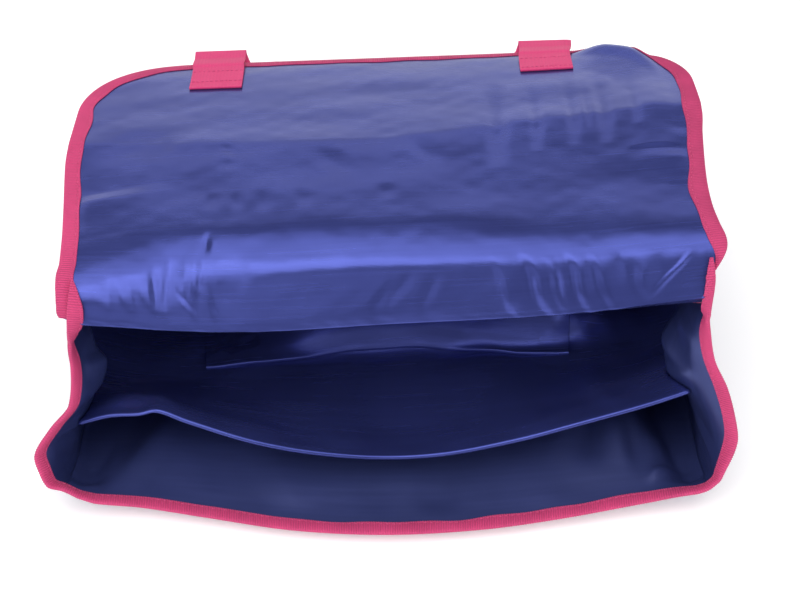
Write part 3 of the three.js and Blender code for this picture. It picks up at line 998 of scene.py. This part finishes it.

# %% [markdown]
# The binding is ribbed tape: fine cords lie across it. The ribs are in its mesh, and the finish
# paints shade into the valleys between them and roughens the thread. The tabs are flat webbing with a
# broken-twill face, which a woven pattern of two waves stands for. A little sheen gives both the
# soft edge of spun thread.

# %% Tape and webbing finishes
RIB_PITCH = 1.3
TAPE_DARK, TAPE_LIGHT = (0.36, 0.026, 0.106), (0.63, 0.050, 0.180)
WEBBING_DARK, WEBBING_LIGHT = (0.54, 0.026, 0.135), (0.86, 0.052, 0.225)
THREAD_DARK, THREAD_LIGHT = (0.42, 0.040, 0.14), (0.70, 0.080, 0.23)
SPUN = {"Sheen_Weight": 0.06, "Sheen_Roughness": 0.5, "IOR": 1.45}


def tape_finish(name, dark, light):
    material, shader, flat = new_finish(name, **SPUN)
    along = flat.add("ShaderNodeSeparateXYZ", None, {"Vector": flat}, 1)
    # The rib wave lightens the cords and darkens the valleys between them in colour, which is painted
    # shade; it also bumps the ribs.
    rib = (along * (2 * math.pi / RIB_PITCH)).sine() * 0.5 + 0.5
    fuzz = noise(flat, scale=1.4, detail=4.0)
    worn = noise(flat, scale=0.05, detail=3.0)
    shade = (rib * 0.35 + fuzz * 0.4 + worn * 0.5).between(0.25, 0.95)
    feed(shade.tint(dark, light), shader, "Base Color")
    feed(0.62 + fuzz * 0.2, shader, "Roughness")
    feed_bump(rib * 0.6 + fuzz * 0.4, shader, strength=0.4, distance=0.0004)
    return material


def webbing_finish(name, dark, light):
    material, shader, flat = new_finish(name, **SPUN)
    weave = threads(flat, "Y", 0.30) * 0.9 + threads(flat, "X", 0.16) * 0.1
    fuzz = noise(flat, scale=1.2, detail=4.0)
    shade = (weave * 0.5 + fuzz * 0.5).between(0.1, 0.9)
    feed(shade.tint(dark, light), shader, "Base Color")
    feed(0.6 + fuzz * 0.2, shader, "Roughness")
    feed_bump(weave * 0.7 + fuzz * 0.3, shader, strength=0.5, distance=0.0005)
    return material


pink_tape = tape_finish("pink_tape", TAPE_DARK, TAPE_LIGHT)
pink_webbing = webbing_finish("pink_webbing", WEBBING_DARK, WEBBING_LIGHT)
pink_thread = tape_finish("pink_thread", THREAD_DARK, THREAD_LIGHT)
print("made the finishes", pink_tape.name, pink_webbing.name, "and", pink_thread.name)

# %% [markdown]
# A cloth panel starts as a flat grid. Each of its vertices is then laid on the panel's surface, the
# flat place is kept as the UV map, and Solidify gives the cloth its thickness. A row may also lift off
# the surface, so a hem is folded over just as it is sewn. A simulation would need the panel's shape
# as a goal first, and this shape is that goal already.

# %% Laying cloth on a surface
CLOTH = 1.0


def flat_grid(columns, rows):
    """A grid mesh, with the column and the row number of each vertex."""
    bm = bmesh.new()
    bmesh.ops.create_grid(bm, x_segments=columns - 1, y_segments=rows - 1, size=0.5)
    mesh = bpy.data.meshes.new("cloth")
    bm.to_mesh(mesh)
    bm.free()
    place = np.empty(len(mesh.vertices) * 3)
    mesh.vertices.foreach_get("co", place)
    place = place.reshape(-1, 3) + 0.5
    column = np.rint(place[:, 0] * (columns - 1)).astype(int)
    row = np.rint(place[:, 1] * (rows - 1)).astype(int)
    return mesh, column, row


def lay(mesh, place_mm, flat_mm):
    """Moves the vertices to their places, and keeps the flat places as a UV map."""
    mesh.vertices.foreach_set("co", (place_mm * MM).ravel())
    corner = np.empty(len(mesh.loops), int)
    mesh.loops.foreach_get("vertex_index", corner)
    mesh.uv_layers.new(name="flat_mm").data.foreach_set("uv", flat_mm[corner].ravel())
    mesh.shade_smooth()
    mesh.update()


def add_piece(name, mesh, finish, slot, *nodes):
    """A finished piece that rides on the bag's one body and stands for the named solids."""
    piece = bpy.data.objects.new(name, mesh)
    scene.collection.objects.link(piece)
    mesh.materials.append(finish)
    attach(piece, "root")
    if nodes:
        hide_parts(*nodes)
    print(name, len(mesh.polygons), "faces")
    return piece


def thicken(piece, name, thick, even):
    """Thickness to both sides of a sheet; even keeps it true where the sheet turns sharply."""
    solid = piece.modifiers.new(name, "SOLIDIFY")
    solid.thickness = thick * MM
    solid.offset = 0
    solid.use_even_offset = even


def add_cloth(name, finish, surface, across, along, flat, node, thick=CLOTH, lift=None, half=None):
    """A panel over places across and along; half widens each row, and lift raises it."""
    mesh, column, row = flat_grid(len(across), len(along))
    b = along[row]
    a = across[column] * (1 if half is None else half(b))
    place = surface(a, b)
    if lift is not None:
        place = place + normal_on(surface, a, b, WALL_STEP) * lift[row][:, None]
    lay(mesh, place, flat(a, b))
    piece = add_piece(name, mesh, finish, "nylon_cloth", node)
    thicken(piece, "cloth thickness", thick, even=True)
    return piece


print("cloth is", CLOTH, "mm thick")

# %% [markdown]
# The front panel and the gussets are sewn along the seams at the floor. Each is its own panel, cut
# from the wall surface between its seams, so the panels meet exactly. Their rows are closer
# together near the mouth, where the creases are. The base is cut to fit between the round corners.

# %% Walls of the bag
SEAM_GAP = 0.2
MOUTH_DEEP = 60
BASE_HALF = HALF_WIDTH - CORNER_ROUND - SEAM_GAP


def cut_flat(x, along):
    return joined(x, along)


deep_rows = np.r_[np.linspace(0, MOUTH_DEEP, 49), np.linspace(MOUTH_DEEP, DEPTH - SEAM_GAP, 80)[1:]]
front_columns = np.linspace(-1, 1, 181)
side_columns = np.linspace(1, 2, 81)
front_cloth = add_cloth(
    "front_cloth", nylon_front_shaded, wall, front_columns, deep_rows, wall_flat, "front_panel")
left_cloth = add_cloth(
    "gusset_left_cloth", nylon_wall_shaded, wall, -side_columns[::-1], deep_rows, wall_flat, "gusset_left")
right_cloth = add_cloth(
    "gusset_right_cloth", nylon_wall_shaded, wall, side_columns, deep_rows, wall_flat, "gusset_right")

base_columns = np.linspace(-BASE_HALF, BASE_HALF, 61)
base_rows = np.linspace(SEAM_GAP, HINGE_Z, 61)
base_cloth = add_cloth(
    "base_cloth", nylon_wall_shaded, base, base_columns, base_rows, cut_flat, "base_panel")

# %% [markdown]
# The flap and the back panel are tongues with two rounded corners, so each row of the grid is made
# as wide as the tongue is there. A trimmed rectangle would leave ragged faces along the curve. The
# flap's rows and columns are closer together where it is pleated. One row lies on the fold at the
# bottom of the roll and is marked sharp, because shading that runs round a fold as tight as this
# one would draw a light line along it.

# %% Flap and back panel
FOLD_AT = 20.1


def crowded(low, high, count, *zones):
    """Places from low to high, set closer together inside each zone (start, end, times closer)."""
    fine = np.linspace(low, high, 2000)
    closeness = 1 + sum((times - 1) * ((fine > start) & (fine < end)) for start, end, times in zones)
    run = np.r_[0, np.cumsum((closeness[1:] + closeness[:-1]) / 2)]
    return np.interp(np.linspace(0, run[-1], count), run, fine)


def tongue_rows(straight, corner, curved):
    """Rows along a tongue: the straight ones, and then closer and closer where its corners turn."""
    turn = np.linspace(0, math.pi / 2, curved)
    return np.r_[straight[:-1], straight[-1] + corner * np.sin(turn)]


flap_columns = crowded(-1, 1, 241, (-0.86, -0.42, 1.8), (0.3, 0.9, 1.6))
flap_straight = crowded(SEAM_GAP, FLAP_LENGTH - FLAP_ROUND, 174, (17, 70, 2.3), (70, 176, 1.4))
flap_rows = tongue_rows(flap_straight, FLAP_ROUND, 34)
fold_row = np.abs(flap_rows - FOLD_AT).argmin()
flap_rows[fold_row] = FOLD_AT
flap_cloth = add_cloth(
    "flap_cloth", nylon, flap, flap_columns, flap_rows, cut_flat, "flap",
    half=lambda along: tongue_half(along, FLAP_LENGTH, FLAP_HALF, FLAP_ROUND))
ends = np.empty(2 * len(flap_cloth.data.edges), int)
flap_cloth.data.edges.foreach_get("vertices", ends)
on_fold = (ends.reshape(-1, 2) // len(flap_columns) == fold_row).all(axis=1)
sharp = flap_cloth.data.attributes.new("sharp_edge", "BOOLEAN", "EDGE")
sharp.data.foreach_set("value", on_fold)
print("the fold of the flap is sharp along", on_fold.sum(), "edges")

back_rows = tongue_rows(np.linspace(SEAM_GAP, BACK_LENGTH - BACK_ROUND, 40), BACK_ROUND, 30)
back_cloth = add_cloth(
    "back_cloth", nylon, back, np.linspace(-1, 1, 61), back_rows, cut_flat, "back_panel",
    half=lambda along: tongue_half(along, BACK_LENGTH, BACK_HALF, BACK_ROUND))

# %% [markdown]
# The divider and the pocket end in a hem: the cloth runs up to the edge, turns over in a small
# round fold and comes back underneath to the stitching. A thicker edge would look much the same
# from the front, but not from the side, and folding the rows costs no more.

# %% Divider and pocket cloth
THIN_CLOTH = 0.6
DIVIDER_SHORT = 2
HEM_WIDE = 10
HEM_ROUND = 1.1
HEM_SETTLE = (-1, 8)
POCKET_SIDE = POCKET_HALF - 0.003


def hemmed_rows(start, end, count):
    """Places along a hemmed cloth and how far it lifts there, from the turned-under edge on."""
    turn = np.linspace(-math.pi / 2, math.pi / 2, 9)
    under = np.linspace(start + HEM_WIDE, start + HEM_ROUND, 12)[:-1]
    fold = start + HEM_ROUND * (1 - np.cos(turn))
    over = np.linspace(start + HEM_ROUND, end, count)[1:]
    along = np.r_[under, fold, over]
    below, above = np.full_like(under, -HEM_ROUND), np.full_like(over, HEM_ROUND)
    lift = np.r_[below, HEM_ROUND * np.sin(turn), above]
    settle = smooth(along - start - HEM_WIDE, *HEM_SETTLE)
    return along, np.where(lift > 0, lift * (1 - settle), lift)


def share_flat(share, depth):
    return joined(share * HALF_WIDTH, depth)


hem_rows, hem_lift = hemmed_rows(DIVIDER_SET, DEPTH - DIVIDER_SHORT, 110)
divider_cloth = add_cloth(
    "divider_cloth", nylon, divider, np.linspace(-1, 1, 161), hem_rows, share_flat, "divider",
    THIN_CLOTH, hem_lift)
slip_rows, slip_lift = hemmed_rows(POCKET_SET, POCKET_SET + POCKET_LENGTH, 50)
slip_columns = np.r_[-POCKET_HALF, np.linspace(-POCKET_SIDE, POCKET_SIDE, 111), POCKET_HALF]
pocket_cloth = add_cloth(
    "pocket_cloth", nylon, pocket, slip_columns, slip_rows, share_flat, "inner_pocket",
    THIN_CLOTH, slip_lift)

# %% [markdown]
# A stitch is a short length of thread that dips into the cloth at both ends. Hundreds of them show,
# so each is only a small round bead of a few faces, stretched along the seam and pressed flat
# against the cloth.

# %% Stitches
STITCH_LONG = 2.3
STITCH_THICK = 0.62


def add_stitches(name, slot, lines):
    """Stitches along lines, each given as its places, its directions and the cloth's normals."""
    centre, ahead, up = (np.concatenate(part) for part in zip(*lines))
    bm = bmesh.new()
    for _ in centre:
        bmesh.ops.create_icosphere(bm, subdivisions=1, radius=0.5)
    mesh = bpy.data.meshes.new(name)
    bm.to_mesh(mesh)
    bm.free()
    grain = np.empty(len(mesh.vertices) * 3)
    mesh.vertices.foreach_get("co", grain)
    grain = grain.reshape(len(centre), -1, 3)
    ahead = ahead / np.linalg.norm(ahead, axis=-1, keepdims=True)
    side = np.cross(up, ahead)
    frame_of = np.stack([ahead * STITCH_LONG, side * STITCH_THICK, up * STITCH_THICK], axis=1)
    place = centre[:, None, :] + grain @ frame_of
    flat = np.repeat(centre[:, :2], grain.shape[1], axis=0) + grain.reshape(-1, 3)[:, :2]
    lay(mesh, place.reshape(-1, 3), flat)
    return add_piece(name, mesh, pink_thread, slot)


print("a stitch is", STITCH_LONG, "mm long")

# %% [markdown]
# Binding tape is folded over a cut edge and sewn through. A curve with a bevel could stand for it,
# but it would twist at the corners. Its section is a narrow U instead, and the grid that becomes
# the tape runs once round that section and then along the edge. Rows follow the edge by true
# length, five to a rib, so the ribs keep one pitch round every curve.

# %% Binding tape
TAPE_OUT = 1.15
TAPE_IN = 0.65
TAPE_EASE = 24
TAPE_WAVER = {"high": 0.05, "wave": 40, "seed": 5}
RIB_HIGH = 0.2
RIB_ROWS = 5
STITCH_ROWS = 13
STITCH_OFF = 1.0
SEWN_FACE = 2


def even_edge(surface, edge, pitch):
    """The edge's rows (a, along, in_a, in_along) spaced evenly by length, and the length itself."""
    place = surface(edge[:, 0], edge[:, 1])
    run = np.r_[0, np.cumsum(np.linalg.norm(np.diff(place, axis=0), axis=1))]
    at = np.linspace(0, run[-1], int(run[-1] / pitch) + 1)
    return np.stack([np.interp(at, run, column) for column in edge.T], axis=-1), at


def evened(values, reach):
    """A running mean along the first axis, over this many rows to each side."""
    first, last = np.repeat(values[:1], reach, axis=0), np.repeat(values[-1:], reach, axis=0)
    total = np.cumsum(np.concatenate([first, values, last]), axis=0)
    return (total[2 * reach:] - total[:-2 * reach]) / (2 * reach)


def tape_section(width):
    """Points round a folded tape: depth into the cloth, height off it, and 1 where it shows."""
    round_turn = np.linspace(math.pi / 2, 3 * math.pi / 2, 7)[1:-1]
    face = np.array([1.0, 0.9, 0.8, 0.7, 0.4, 0.15]) * width
    crown = np.array([0.85, 1.05, 0.8, 1.1, 1.3, 1.2]) * TAPE_OUT
    into = np.r_[face, np.cos(round_turn) * TAPE_OUT, face[::-1]]
    off = np.r_[crown, np.sin(round_turn) * TAPE_OUT, -crown[::-1]]
    inner_into = np.r_[width, 0, -TAPE_IN, 0, width]
    inner_off = np.r_[-TAPE_IN, -TAPE_IN, 0, TAPE_IN, TAPE_IN]
    shows = np.r_[np.ones(len(into)), np.zeros(len(inner_into)), 1]
    return np.r_[into, inner_into, into[0]], np.r_[off, inner_off, off[0]], shows


def close_tape(mesh):
    """Joins the section's two ends, caps the tape's ends and turns its faces outwards."""
    bm = bmesh.new()
    bm.from_mesh(mesh)
    bmesh.ops.remove_doubles(bm, verts=bm.verts, dist=1e-6)
    open_edges = [edge for edge in bm.edges if edge.is_boundary]
    bmesh.ops.holes_fill(bm, edges=open_edges, sides=0)
    bmesh.ops.recalc_face_normals(bm, faces=bm.faces)
    bm.to_mesh(mesh)
    bm.free()


def add_tape(name, surface, edge, width, node, step=FINE_STEP, narrow=None):
    """Tape along an edge of a surface, with its stitches; narrow gives the share of its width left."""
    rows, run = even_edge(surface, edge, RIB_PITCH / RIB_ROWS)
    into, off, shows = tape_section(width)
    mesh, column, row = flat_grid(len(into), len(rows))
    waver = 1 + ripple(run, 0 * run, **TAPE_WAVER)
    edge_at, in_at = rows[:, :2].T, (rows[:, :2] + rows[:, 2:]).T
    reach = 1 / np.linalg.norm(surface(*in_at) - surface(*edge_at), axis=1)
    if narrow is not None:
        reach = reach * narrow(rows)
    depth_in = into * reach[:, None] * np.where(into > 0, waver[:, None], 1)
    a = rows[:, :1] + rows[:, 2:3] * depth_in
    along = rows[:, 1:2] + rows[:, 3:] * depth_in
    middle = surface(a, along)
    up = evened(normal_on(surface, a, along, step), TAPE_EASE)
    up = up / np.linalg.norm(up, axis=-1, keepdims=True)
    rib = RIB_HIGH * np.cos(2 * np.pi * run / RIB_PITCH)[:, None] * shows
    place = middle + up * (off + rib * np.sign(off))[..., None]
    girth = np.r_[0, np.cumsum(np.hypot(np.diff(into), np.diff(off)))]
    lay(mesh, place[row, column], joined(girth[column], run[row]))
    close_tape(mesh)
    sewn = slice(STITCH_ROWS // 2, None, STITCH_ROWS)
    outer = np.flatnonzero(shows)[:-1]
    lines = []
    for k, side in ((outer[SEWN_FACE], 1), (outer[-1 - SEWN_FACE], -1)):
        line, outward = middle[sewn, k], up[sewn, k] * side
        lines.append((line + outward * STITCH_OFF, np.gradient(line, axis=0), outward))
    add_stitches(name + "_stitches", "pink_tape", lines)
    return add_piece(name, mesh, pink_tape, "pink_tape", node)


print("the tape has a rib every", RIB_PITCH, "mm")

# %% [markdown]
# The tape of the mouth runs on past both hinges, up over the front of the flap's roll, where it
# narrows and ends. It could stop at the hinge, but the real one was sewn on in one length. So the
# edge that it follows is the wall's as far as the hinge, and eases over to a line on the flap.

# %% Mouth tape
MOUTH_TAPE_WIDTH = 6.8
TAIL = 0.42
TAIL_FROM = 12
TAIL_TO = 44
TAIL_OFF = 2.6
TAIL_OVER = (0, 0.6)
TAIL_SWELL = 1.6
TAIL_SWELL_AT = 0.3
TAIL_SWELL_WIDE = 0.4
TAIL_THIN = (0, 0.1)
AHEAD_LEFT = 7
AHEAD_RIGHT = 4
AHEAD_EASE = (1.8, 2)

TAIL_SIZES = table(
    "up left_in right_in left_wide right_wide",
    (0.0, 3.5, 3.0, 5.5, 6.0),
    (0.25, 4.2, 2.4, 6.5, 5.4),
    (0.5, 4.8, 1.3, 7.4, 4.6),
    (0.8, 5.3, 1.6, 4.4, 3.4),
    (1.0, 5.8, 2.4, 1.2, 1.6),
)


def tail_up(at):
    """How far a place is up the tail, from 0 at the hinge to 1 at its end."""
    return np.maximum(np.abs(at) - 2, 0) / TAIL


def tail_size(at, name):
    """A size of the tail on the side of the bag that the place is on."""
    left, right = (read(TAIL_SIZES, "up", side + name, tail_up(at)) for side in ("left", "right"))
    return np.where(at < 0, left, right)


def rim(at, depth):
    """The mouth's edge, carried on past the hinge over the front of the flap's roll."""
    at, depth = np.broadcast_arrays(np.asarray(at, float), np.asarray(depth, float))
    side = np.sign(at)
    up = tail_up(at)
    inset = tail_size(at, "_in") + depth
    along = mix(TAIL_FROM, TAIL_TO, up)
    left, right = flap_sides(along)
    x = FLAP_HALF * (2 * (side * (FLAP_HALF - inset) - left) / (right - left) - 1)
    swell = np.where(side < 0, TAIL_SWELL, 0) * bump((up - TAIL_SWELL_AT) / TAIL_SWELL_WIDE)
    over = flap(x, along) + normal_on(flap, x, along) * (TAIL_OFF + swell)[..., None]
    sewn = wall(np.clip(at, -2, 2), depth)
    sewn[..., 1] -= np.where(side < 0, AHEAD_LEFT, AHEAD_RIGHT) * smooth(np.abs(at), *AHEAD_EASE)
    return mix(sewn, over, smooth(up, *TAIL_OVER)[..., None])


def tail_narrow(rows):
    """Share of the full tape width that is left where the tape runs out over the roll."""
    at = rows[:, 0]
    share = tail_size(at, "_wide") / MOUTH_TAPE_WIDTH
    return mix(1, share, smooth(tail_up(at), *TAIL_THIN))


mouth_edge = joined(np.linspace(-2 - TAIL, 2 + TAIL, 1100), 0, 0, 1)
mouth_tape = add_tape(
    "mouth_tape", rim, mouth_edge, MOUTH_TAPE_WIDTH, "mouth_binding", WALL_STEP, tail_narrow)

# %% [markdown]
# The flap and the back panel are bound along both sides and the far end. Their edge is that of a
# tongue: down one side, round a corner, across and back. The flap's tape starts where the roll lets
# it show, and its right end is tucked behind the tape of the mouth.

# %% Flap and back tape
FLAP_TAPE_RIGHT = 36
FLAP_TAPE_FULL = 56
FLAP_TAPE_LEFT = 23
FLAP_TAPE_END = 0.25


def tongue_edge(length, half, corner):
    """Edge of a tongue from its right hinge corner round the far end to the left one."""
    turn = np.linspace(0, math.pi / 2, 80)
    cos, sin = np.cos(turn), np.sin(turn)
    side = joined(half, np.linspace(SEAM_GAP, length - corner, 200)[:-1], -1, 0)
    bend = joined(half - corner + corner * cos, length - corner + corner * sin, -cos, -sin)
    right = np.r_[side, bend]
    end = joined(np.linspace(half - corner, corner - half, 120)[1:-1], length, 0, -1)
    left = (right * [-1, 1, -1, 1])[::-1]
    return np.r_[right, end, left]


def flap_narrow(rows):
    """The right end of the flap's tape is tucked behind the tape of the mouth, so it narrows there."""
    share = mix(FLAP_TAPE_END, 1, smooth(rows[:, 1], FLAP_TAPE_RIGHT, FLAP_TAPE_FULL))
    return np.where(rows[:, 0] > 0, share, 1)


flap_edge = tongue_edge(FLAP_LENGTH, FLAP_HALF, FLAP_ROUND)
bound = flap_edge[:, 1] > np.where(flap_edge[:, 0] > 0, FLAP_TAPE_RIGHT, FLAP_TAPE_LEFT)
flap_tape = add_tape(
    "flap_tape", flap, flap_edge[bound], TAPE_WIDTH, "flap_binding", narrow=flap_narrow)
back_edge = tongue_edge(BACK_LENGTH, BACK_HALF, BACK_ROUND)
back_tape = add_tape("back_tape", back, back_edge, TAPE_WIDTH, "back_binding")

# %% [markdown]
# Two short loops of webbing are sewn over the far edge of the flap. Each is one strip whose course
# over the edge is read from a table, with the lower end skewed a little, as it was sewn. It is laid
# on the flap's own surface, so it follows the edge at any place along it.

# %% Webbing tabs
TAB_WIDTH = 30
TAB_THICK = 1.3
TAB_COLUMNS = 41
TAB_ROWS = 281
TAB_LEFT_X = -97.5
TAB_RIGHT_X = 94
TAB_LEFT_LEAN = 1.5
TAB_RIGHT_LEAN = -1.0
TAB_RIGHT_CUT = 0.3
TAB_LEAN_EASE = (0, 0.3)
TAB_SKEW = 7
TAB_SKEW_EASE = (0.5, 0.9)
TAB_SEWN = (-35, -21)
TAB_SEWN_IN = 1.5
TAB_STITCHES = 11
TAB_STITCH_OFF = 0.1
TAB_TOP = 4

TAB_COURSE = table(
    "past above",
    (-43.0, 1.4),
    (-27.0, 1.5),
    (-15.0, 2.0),
    (-10.0, 3.2),
    (0.0, 3.3),
    (5.0, 4.6),
    (10.0, 6.2),
    (13.5, 5.4),
    (12.0, 3.2),
    (7.5, 0.6),
    (4.4, -1.8),
    (0.5, -3.4),
    (-10.0, -3.3),
    (-16.0, -2.2),
    (-28.0, -2.0),
)
TAB_COURSE["step"] = np.arange(len(TAB_COURSE["past"]), dtype=float)


def add_tab(name, middle, lean, start, node):
    """A tab with its two rows of stitches, round the place middle on the flap's far edge."""
    last = TAB_COURSE["step"][-1]
    inward = -np.sign(middle)

    def surface(across, place):
        done = place / last
        past = read(TAB_COURSE, "step", "past", place)
        above = read(TAB_COURSE, "step", "above", place)
        x = middle + across + lean * (1 - smooth(done, *TAB_LEAN_EASE))
        x = x + inward * TAB_SKEW * smooth(done, *TAB_SKEW_EASE)
        along = FLAP_LENGTH + past
        return flap(x, along) + normal_on(flap, x, along) * above[..., None]

    mesh, column, row = flat_grid(TAB_COLUMNS, TAB_ROWS)
    across = np.linspace(-TAB_WIDTH / 2, TAB_WIDTH / 2, TAB_COLUMNS)
    steps = np.linspace(start, last, TAB_ROWS)
    middle_line = surface(0 * steps, steps)
    run = np.r_[0, np.cumsum(np.linalg.norm(np.diff(middle_line, axis=0), axis=1))]
    lay(mesh, surface(across[column], steps[row]), joined(across[column], run[row]))
    piece = add_piece(name, mesh, pink_webbing, "pink_webbing", node)
    thicken(piece, "webbing thickness", TAB_THICK, even=False)

    sewn_half = TAB_WIDTH / 2 - TAB_SEWN_IN
    sewn_at = np.linspace(-sewn_half, sewn_half, TAB_STITCHES)
    lines = []
    for past in TAB_SEWN:
        row_at = np.interp(past, TAB_COURSE["past"][:TAB_TOP], TAB_COURSE["step"][:TAB_TOP])
        place = np.full_like(sewn_at, row_at)
        line, up = surface(sewn_at, place), normal_on(surface, sewn_at, place)
        off = TAB_THICK / 2 + TAB_STITCH_OFF
        lines.append((line + up * off, np.gradient(line, axis=0), up))
    add_stitches(name + "_stitches", "pink_webbing", lines)
    return piece


tab_left = add_tab("tab_left_webbing", TAB_LEFT_X, TAB_LEFT_LEAN, 0, "tab_left")
tab_right = add_tab("tab_right_webbing", TAB_RIGHT_X, TAB_RIGHT_LEAN, TAB_RIGHT_CUT, "tab_right")

# %% [markdown]

# %% Sheets


# %% [markdown]
# The bag lies on a plain white table in a bright room. A table top that only reflects would turn
# grey at its far side, so it also glows a little, and the room around it is evenly white.

# %% Floor and room
FLOOR_HALF = 6
ROOM_LIGHT = 0.27
WHITE = (1, 1, 1, 1)

floor_mesh = bpy.data.meshes.new("floor")
bm = bmesh.new()
bmesh.ops.create_grid(bm, x_segments=1, y_segments=1, size=FLOOR_HALF)
bm.to_mesh(floor_mesh)
bm.free()
floor = bpy.data.objects.new("floor", floor_mesh)
scene.collection.objects.link(floor)
floor_finish, _ = new_material(
    "white_table", Base_Color=(0.92, 0.92, 0.92, 1), Roughness=0.9,
    Emission_Color=WHITE, Emission_Strength=0.3)
floor_mesh.materials.append(floor_finish)

world = bpy.data.worlds.new("room")
world.use_nodes = True
set_sockets(world.node_tree.nodes["Background"], Color=WHITE, Strength=ROOM_LIGHT)
scene.world = world
print("the floor is", 2 * FLOOR_HALF, "m wide")

# %% [markdown]
# Shiny cloth shows its lamps, so large soft ones are set where the real bag has its broad lights.
# Two hang overhead and in front: they draw the bright band along the roll and light the flap. A
# large lamp at each side lights the gussets, a small one in front fills the inside, and three wide
# panels far behind give the flap's far half its pale sheen. Small lamps would leave hard spots.

# %% Light


def add_lamp(name, place, aim, size, power):
    lamp = bpy.data.objects.new(name, bpy.data.lights.new(name, "AREA"))
    scene.collection.objects.link(lamp)
    lamp.data.shape = "RECTANGLE"
    lamp.data.size, lamp.data.size_y = size
    lamp.data.energy = power
    lamp.location = place
    lamp.rotation_euler = (Vector(aim) - Vector(place)).to_track_quat("-Z", "Y").to_euler()


add_lamp("overhead_lamp", (0.0, 0.05, 1.6), (0, 0, 0), (1.8, 1.0), 10.3)
add_lamp("front_lamp", (-0.3, -0.75, 1.6), (0, 0, 0), (1.4, 0.8), 10)
add_lamp("left_lamp", (-1.3, -0.9, 0.7), (0, 0, 0.1), (1.3, 1.5), 14)
add_lamp("right_lamp", (1.3, -1.0, 0.6), (0, 0, 0.1), (1.3, 1.5), 13)
add_lamp("front_fill", (-0.45, -2.2, 1.1), (0, 0, 0.1), (0.8, 0.8), 1.3)
add_lamp("backdrop", (0, 1.9, 0.6), (0, 0, 0.1), (4.0, 1.1), 7.5)
add_lamp("backdrop_top", (0, 1.9, 1.32), (0, 0, 0.1), (4.0, 0.45), 5)
add_lamp("backdrop_foot", (0, 2.3, 0.35), (0, 0, 0.15), (4.0, 0.5), 4)
scene.view_settings.view_transform = "Standard"
print("lit by", len(bpy.data.lights), "lamps")
